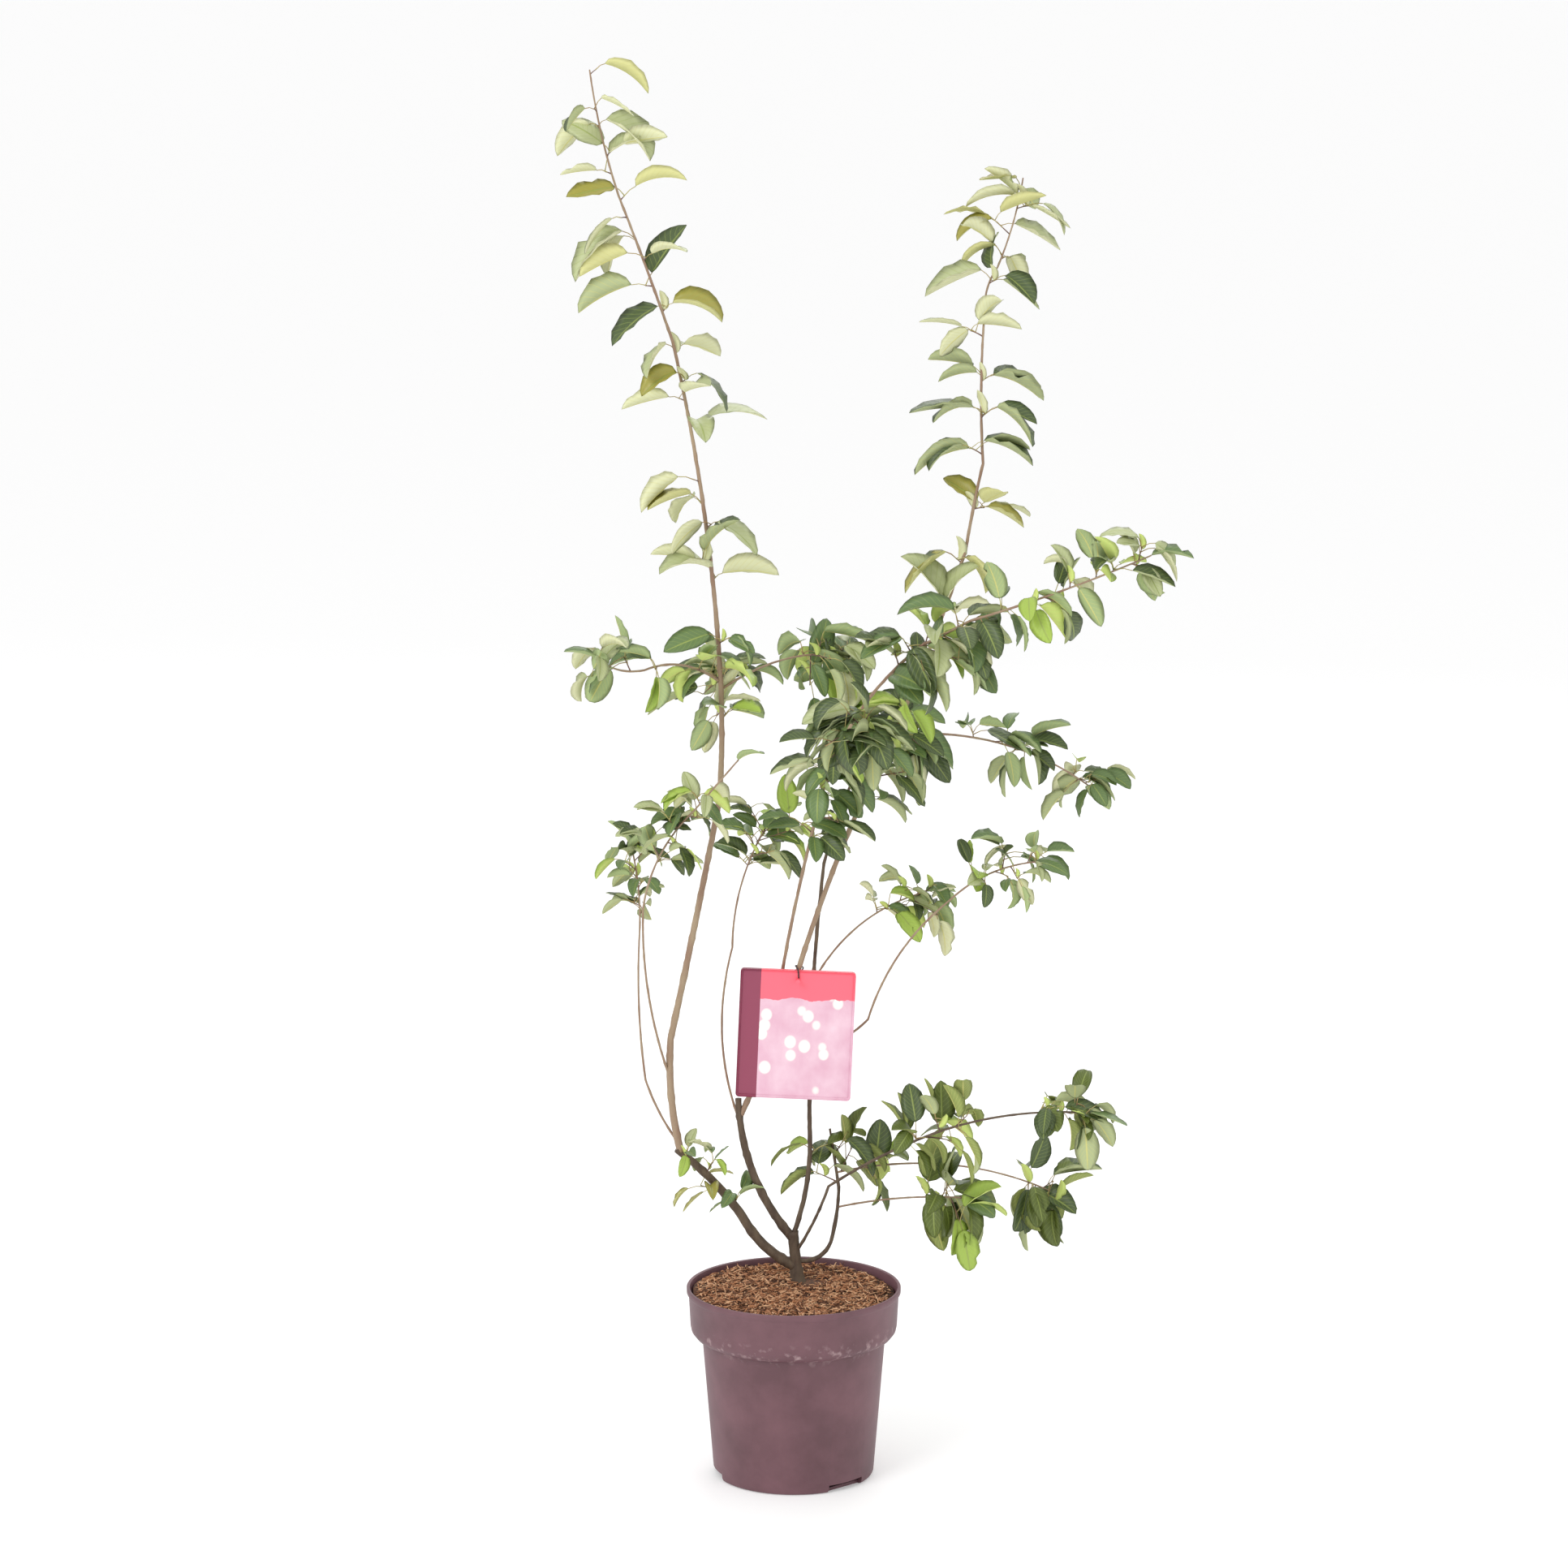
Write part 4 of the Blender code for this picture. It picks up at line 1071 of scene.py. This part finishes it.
class PLANT_OT_mulch(bpy.types.Operator):
    """Shredded bark on the root ball: a rough bed with loose chips on it"""
    bl_idname = "plant.mulch"
    bl_label = "Mulch"

    def execute(self, context):
        deselect()
        bpy.ops.mesh.primitive_cylinder_add(
            vertices=BED_SIDES, radius=SOIL_RADIUS, depth=BED_DEPTH,
            location=(0, 0, SOIL_LEVEL - BED_DEPTH / 2))
        bed = context.object
        bed.name = "mulch_bed"
        apply_place(bed)
        for polygon in bed.data.polygons:
            polygon.select = polygon.normal.z > ALONG_AXIS
        bpy.ops.object.mode_set(mode="EDIT")
        for thickness in BED_INSETS:
            bpy.ops.mesh.inset(thickness=thickness)
        bpy.ops.object.mode_set(mode="OBJECT")
        for vert in bed.data.vertices:
            if vert.co.z > SOIL_LEVEL - BED_RIM:
                vert.co.z = soil_height(vert.co.x, vert.co.y) - BED_DROP
        bed.data.materials.append(mottled(
            "mulch bed", tone(120, 78, 50), tone(58, 36, 26), patches=220, grain=900,
            roughness=0.95, bump=0.003))
        bpy.ops.object.shade_smooth()
        keep_piece(bed, ["root_ball"])
        rng = Random(PLANT_SEED + 1)
        for shade, many, first, second in CHIPS:
            chips = Joined()
            for _ in range(many):
                add_chip(chips, rng, context.scene.pot.chip_length)
            bark = mottled(f"bark chip {shade}", first, second, patches=300, grain=1400,
                           roughness=0.9, bump=0.0005)
            keep_piece(chips.build(f"mulch_chips_{shade}", [bark]))
        return {"FINISHED"}


class PLANT_OT_limbs(bpy.types.Operator):
    """Bark for the trunk and for each limb, with knots and relief"""
    bl_idname = "plant.limbs"
    bl_label = "Limbs"

    def execute(self, context):
        relief = context.scene.plant.bark_relief
        barks = {
            "old_bark": mottled(
                "old bark", tone(104, 88, 70), tone(74, 58, 46), patches=90, grain=500,
                stretch=(1, 1, 0.35), roughness=0.75, bump=0.0008),
            "young_bark": mottled(
                "young bark", tone(158, 138, 112), tone(138, 108, 88), patches=60, grain=420,
                stretch=(1, 1, 0.3), roughness=0.55, bump=0.0004),
        }
        for number, (name, (points, radii)) in enumerate(limb_lines().items()):
            sides = STOUT_SIDES if max(radii) > STOUT_RADIUS else SLIM_SIDES
            limb = Joined()
            limb.add(lumpy_rings(points, knotted(points, radii), sides, relief, number),
                     ring_faces(len(points), sides))
            slot = "old_bark" if name in OLD_BARK_LIMBS else "young_bark"
            keep_piece(limb.build(f"{name}_bark", [barks[slot]]), [name])
        return {"FINISHED"}


class PLANT_OT_leaves(bpy.types.Operator):
    """Twigs, leaf stalks and leaves that grow from the limbs by a seeded rule"""
    bl_idname = "plant.leaves"
    bl_label = "Leaves"

    def execute(self, context):
        growth = Growth(context.scene.plant)
        masses = {kind: [] for kind in LEAF_KINDS}
        for spray in SPRAYS:
            growth.add_spray(spray)
            masses[spray.kinds[0][0]].append(spray.mass)
        for limb in LIMBS:
            if limb.thin <= SLIM_TIP and "leader" not in limb.name:
                growth.add_tip_leaf(limb.name)
        bark = mottled("twig bark", tone(128, 96, 84), tone(98, 72, 66), patches=80, grain=500,
                       stretch=(1, 1, 0.4), roughness=0.55)
        stalk = mottled("leaf stalk", tone(182, 176, 110), tone(160, 130, 88), patches=40,
                        grain=300, roughness=0.5)
        keep_piece(growth.twigs.build("twigs", [bark]))
        keep_piece(growth.stalks.build("leaf_stalks", [stalk]))
        for kind, (slot, above, below) in LEAF_KINDS.items():
            top = leaf_material(f"leaf {kind} top", above, TOP_VEIN, 0.42)
            under = leaf_material(f"leaf {kind} underside", below, UNDERSIDE_VEIN, 0.7)
            item = growth.leaves[kind].build(f"leaves_{kind}", [top, under])
            keep_piece(item, masses[kind])
        return {"FINISHED"}


class PLANT_OT_card(bpy.types.Operator):
    """The hanging card with its generic print, and the tie's finish"""
    bl_idname = "plant.card"
    bl_label = "Card"

    def execute(self, context):
        deselect()
        bpy.ops.mesh.primitive_cube_add(size=1, location=(0, 0, 0))
        card = context.object
        card.name = "picture_card"
        card.scale = CARD_SIZE
        bpy.ops.object.transform_apply(location=False, rotation=False, scale=True)
        bpy.ops.object.mode_set(mode="EDIT")
        bpy.ops.mesh.select_mode(type="EDGE")
        bpy.ops.object.mode_set(mode="OBJECT")
        for edge in card.data.edges:
            a, b = (card.data.vertices[i].co for i in edge.vertices)
            edge.select = abs((a - b).normalized().y) > ALONG_AXIS
        bpy.ops.object.mode_set(mode="EDIT")
        bpy.ops.mesh.bevel(offset=CARD_CORNER, segments=CARD_CORNER_STEPS)
        bpy.ops.object.mode_set(mode="OBJECT")
        deselect()
        bpy.ops.mesh.primitive_cylinder_add(
            vertices=PUNCH_SIDES, radius=PUNCH_RADIUS, depth=PUNCH_DEPTH,
            location=(0, 0, CARD_SIZE[2] / 2 - PUNCH_DROP), rotation=(math.pi / 2, 0, 0))
        cut_away(card, context.object)
        drop = Vector((math.sin(CARD_TURN), 0, math.cos(CARD_TURN))) * CARD_SIZE[2] / 2
        middle = CARD_TOP - drop
        card.location = middle
        card.rotation_euler = (0, CARD_TURN, 0)
        apply_place(card)
        card.data.materials.append(card_print(context.scene.card, middle))
        keep_piece(card, ["label_card"])
        tie = frame["nodes"]["label_tie"]
        tie.data.materials.clear()
        tie.data.materials.append(mottled(
            "tie plastic", tone(62, 40, 44), tone(44, 28, 32), patches=200, grain=900,
            roughness=0.4, bump=0.0001))
        return {"FINISHED"}


class PLANT_PT_panel(bpy.types.Panel):
    """Lists the plant's settings and pieces"""
    bl_idname = "PLANT_PT_panel"
    bl_label = "Potted shrub"
    bl_space_type = "VIEW_3D"
    bl_region_type = "UI"
    bl_category = "Plant"

    def draw(self, context):
        scene = context.scene
        for settings in (scene.plant, scene.pot, scene.card):
            for name in settings.bl_rna.properties.keys():
                if name not in ("rna_type", "name"):
                    self.layout.prop(settings, name)
        for operator in OPERATORS:
            self.layout.operator(operator.bl_idname)


OPERATORS = (
    PLANT_OT_stage, PLANT_OT_pot, PLANT_OT_mulch, PLANT_OT_limbs, PLANT_OT_leaves, PLANT_OT_card,
)
CLASSES = (PlantSettings, PotSettings, CardSettings, *OPERATORS, PLANT_PT_panel)


def register():
    for item in CLASSES:
        bpy.utils.register_class(item)
    bpy.types.Scene.plant = bpy.props.PointerProperty(type=PlantSettings)
    bpy.types.Scene.pot = bpy.props.PointerProperty(type=PotSettings)
    bpy.types.Scene.card = bpy.props.PointerProperty(type=CardSettings)


def unregister():
    del bpy.types.Scene.card
    del bpy.types.Scene.pot
    del bpy.types.Scene.plant
    for item in reversed(CLASSES):
        bpy.utils.unregister_class(item)


def main():
    register()
    bpy.ops.plant.stage()
    bpy.ops.plant.pot()
    bpy.ops.plant.mulch()
    bpy.ops.plant.limbs()
    bpy.ops.plant.leaves()
    bpy.ops.plant.card()
    bpy.context.view_layer.update()


if __name__ == "__main__":
    main()
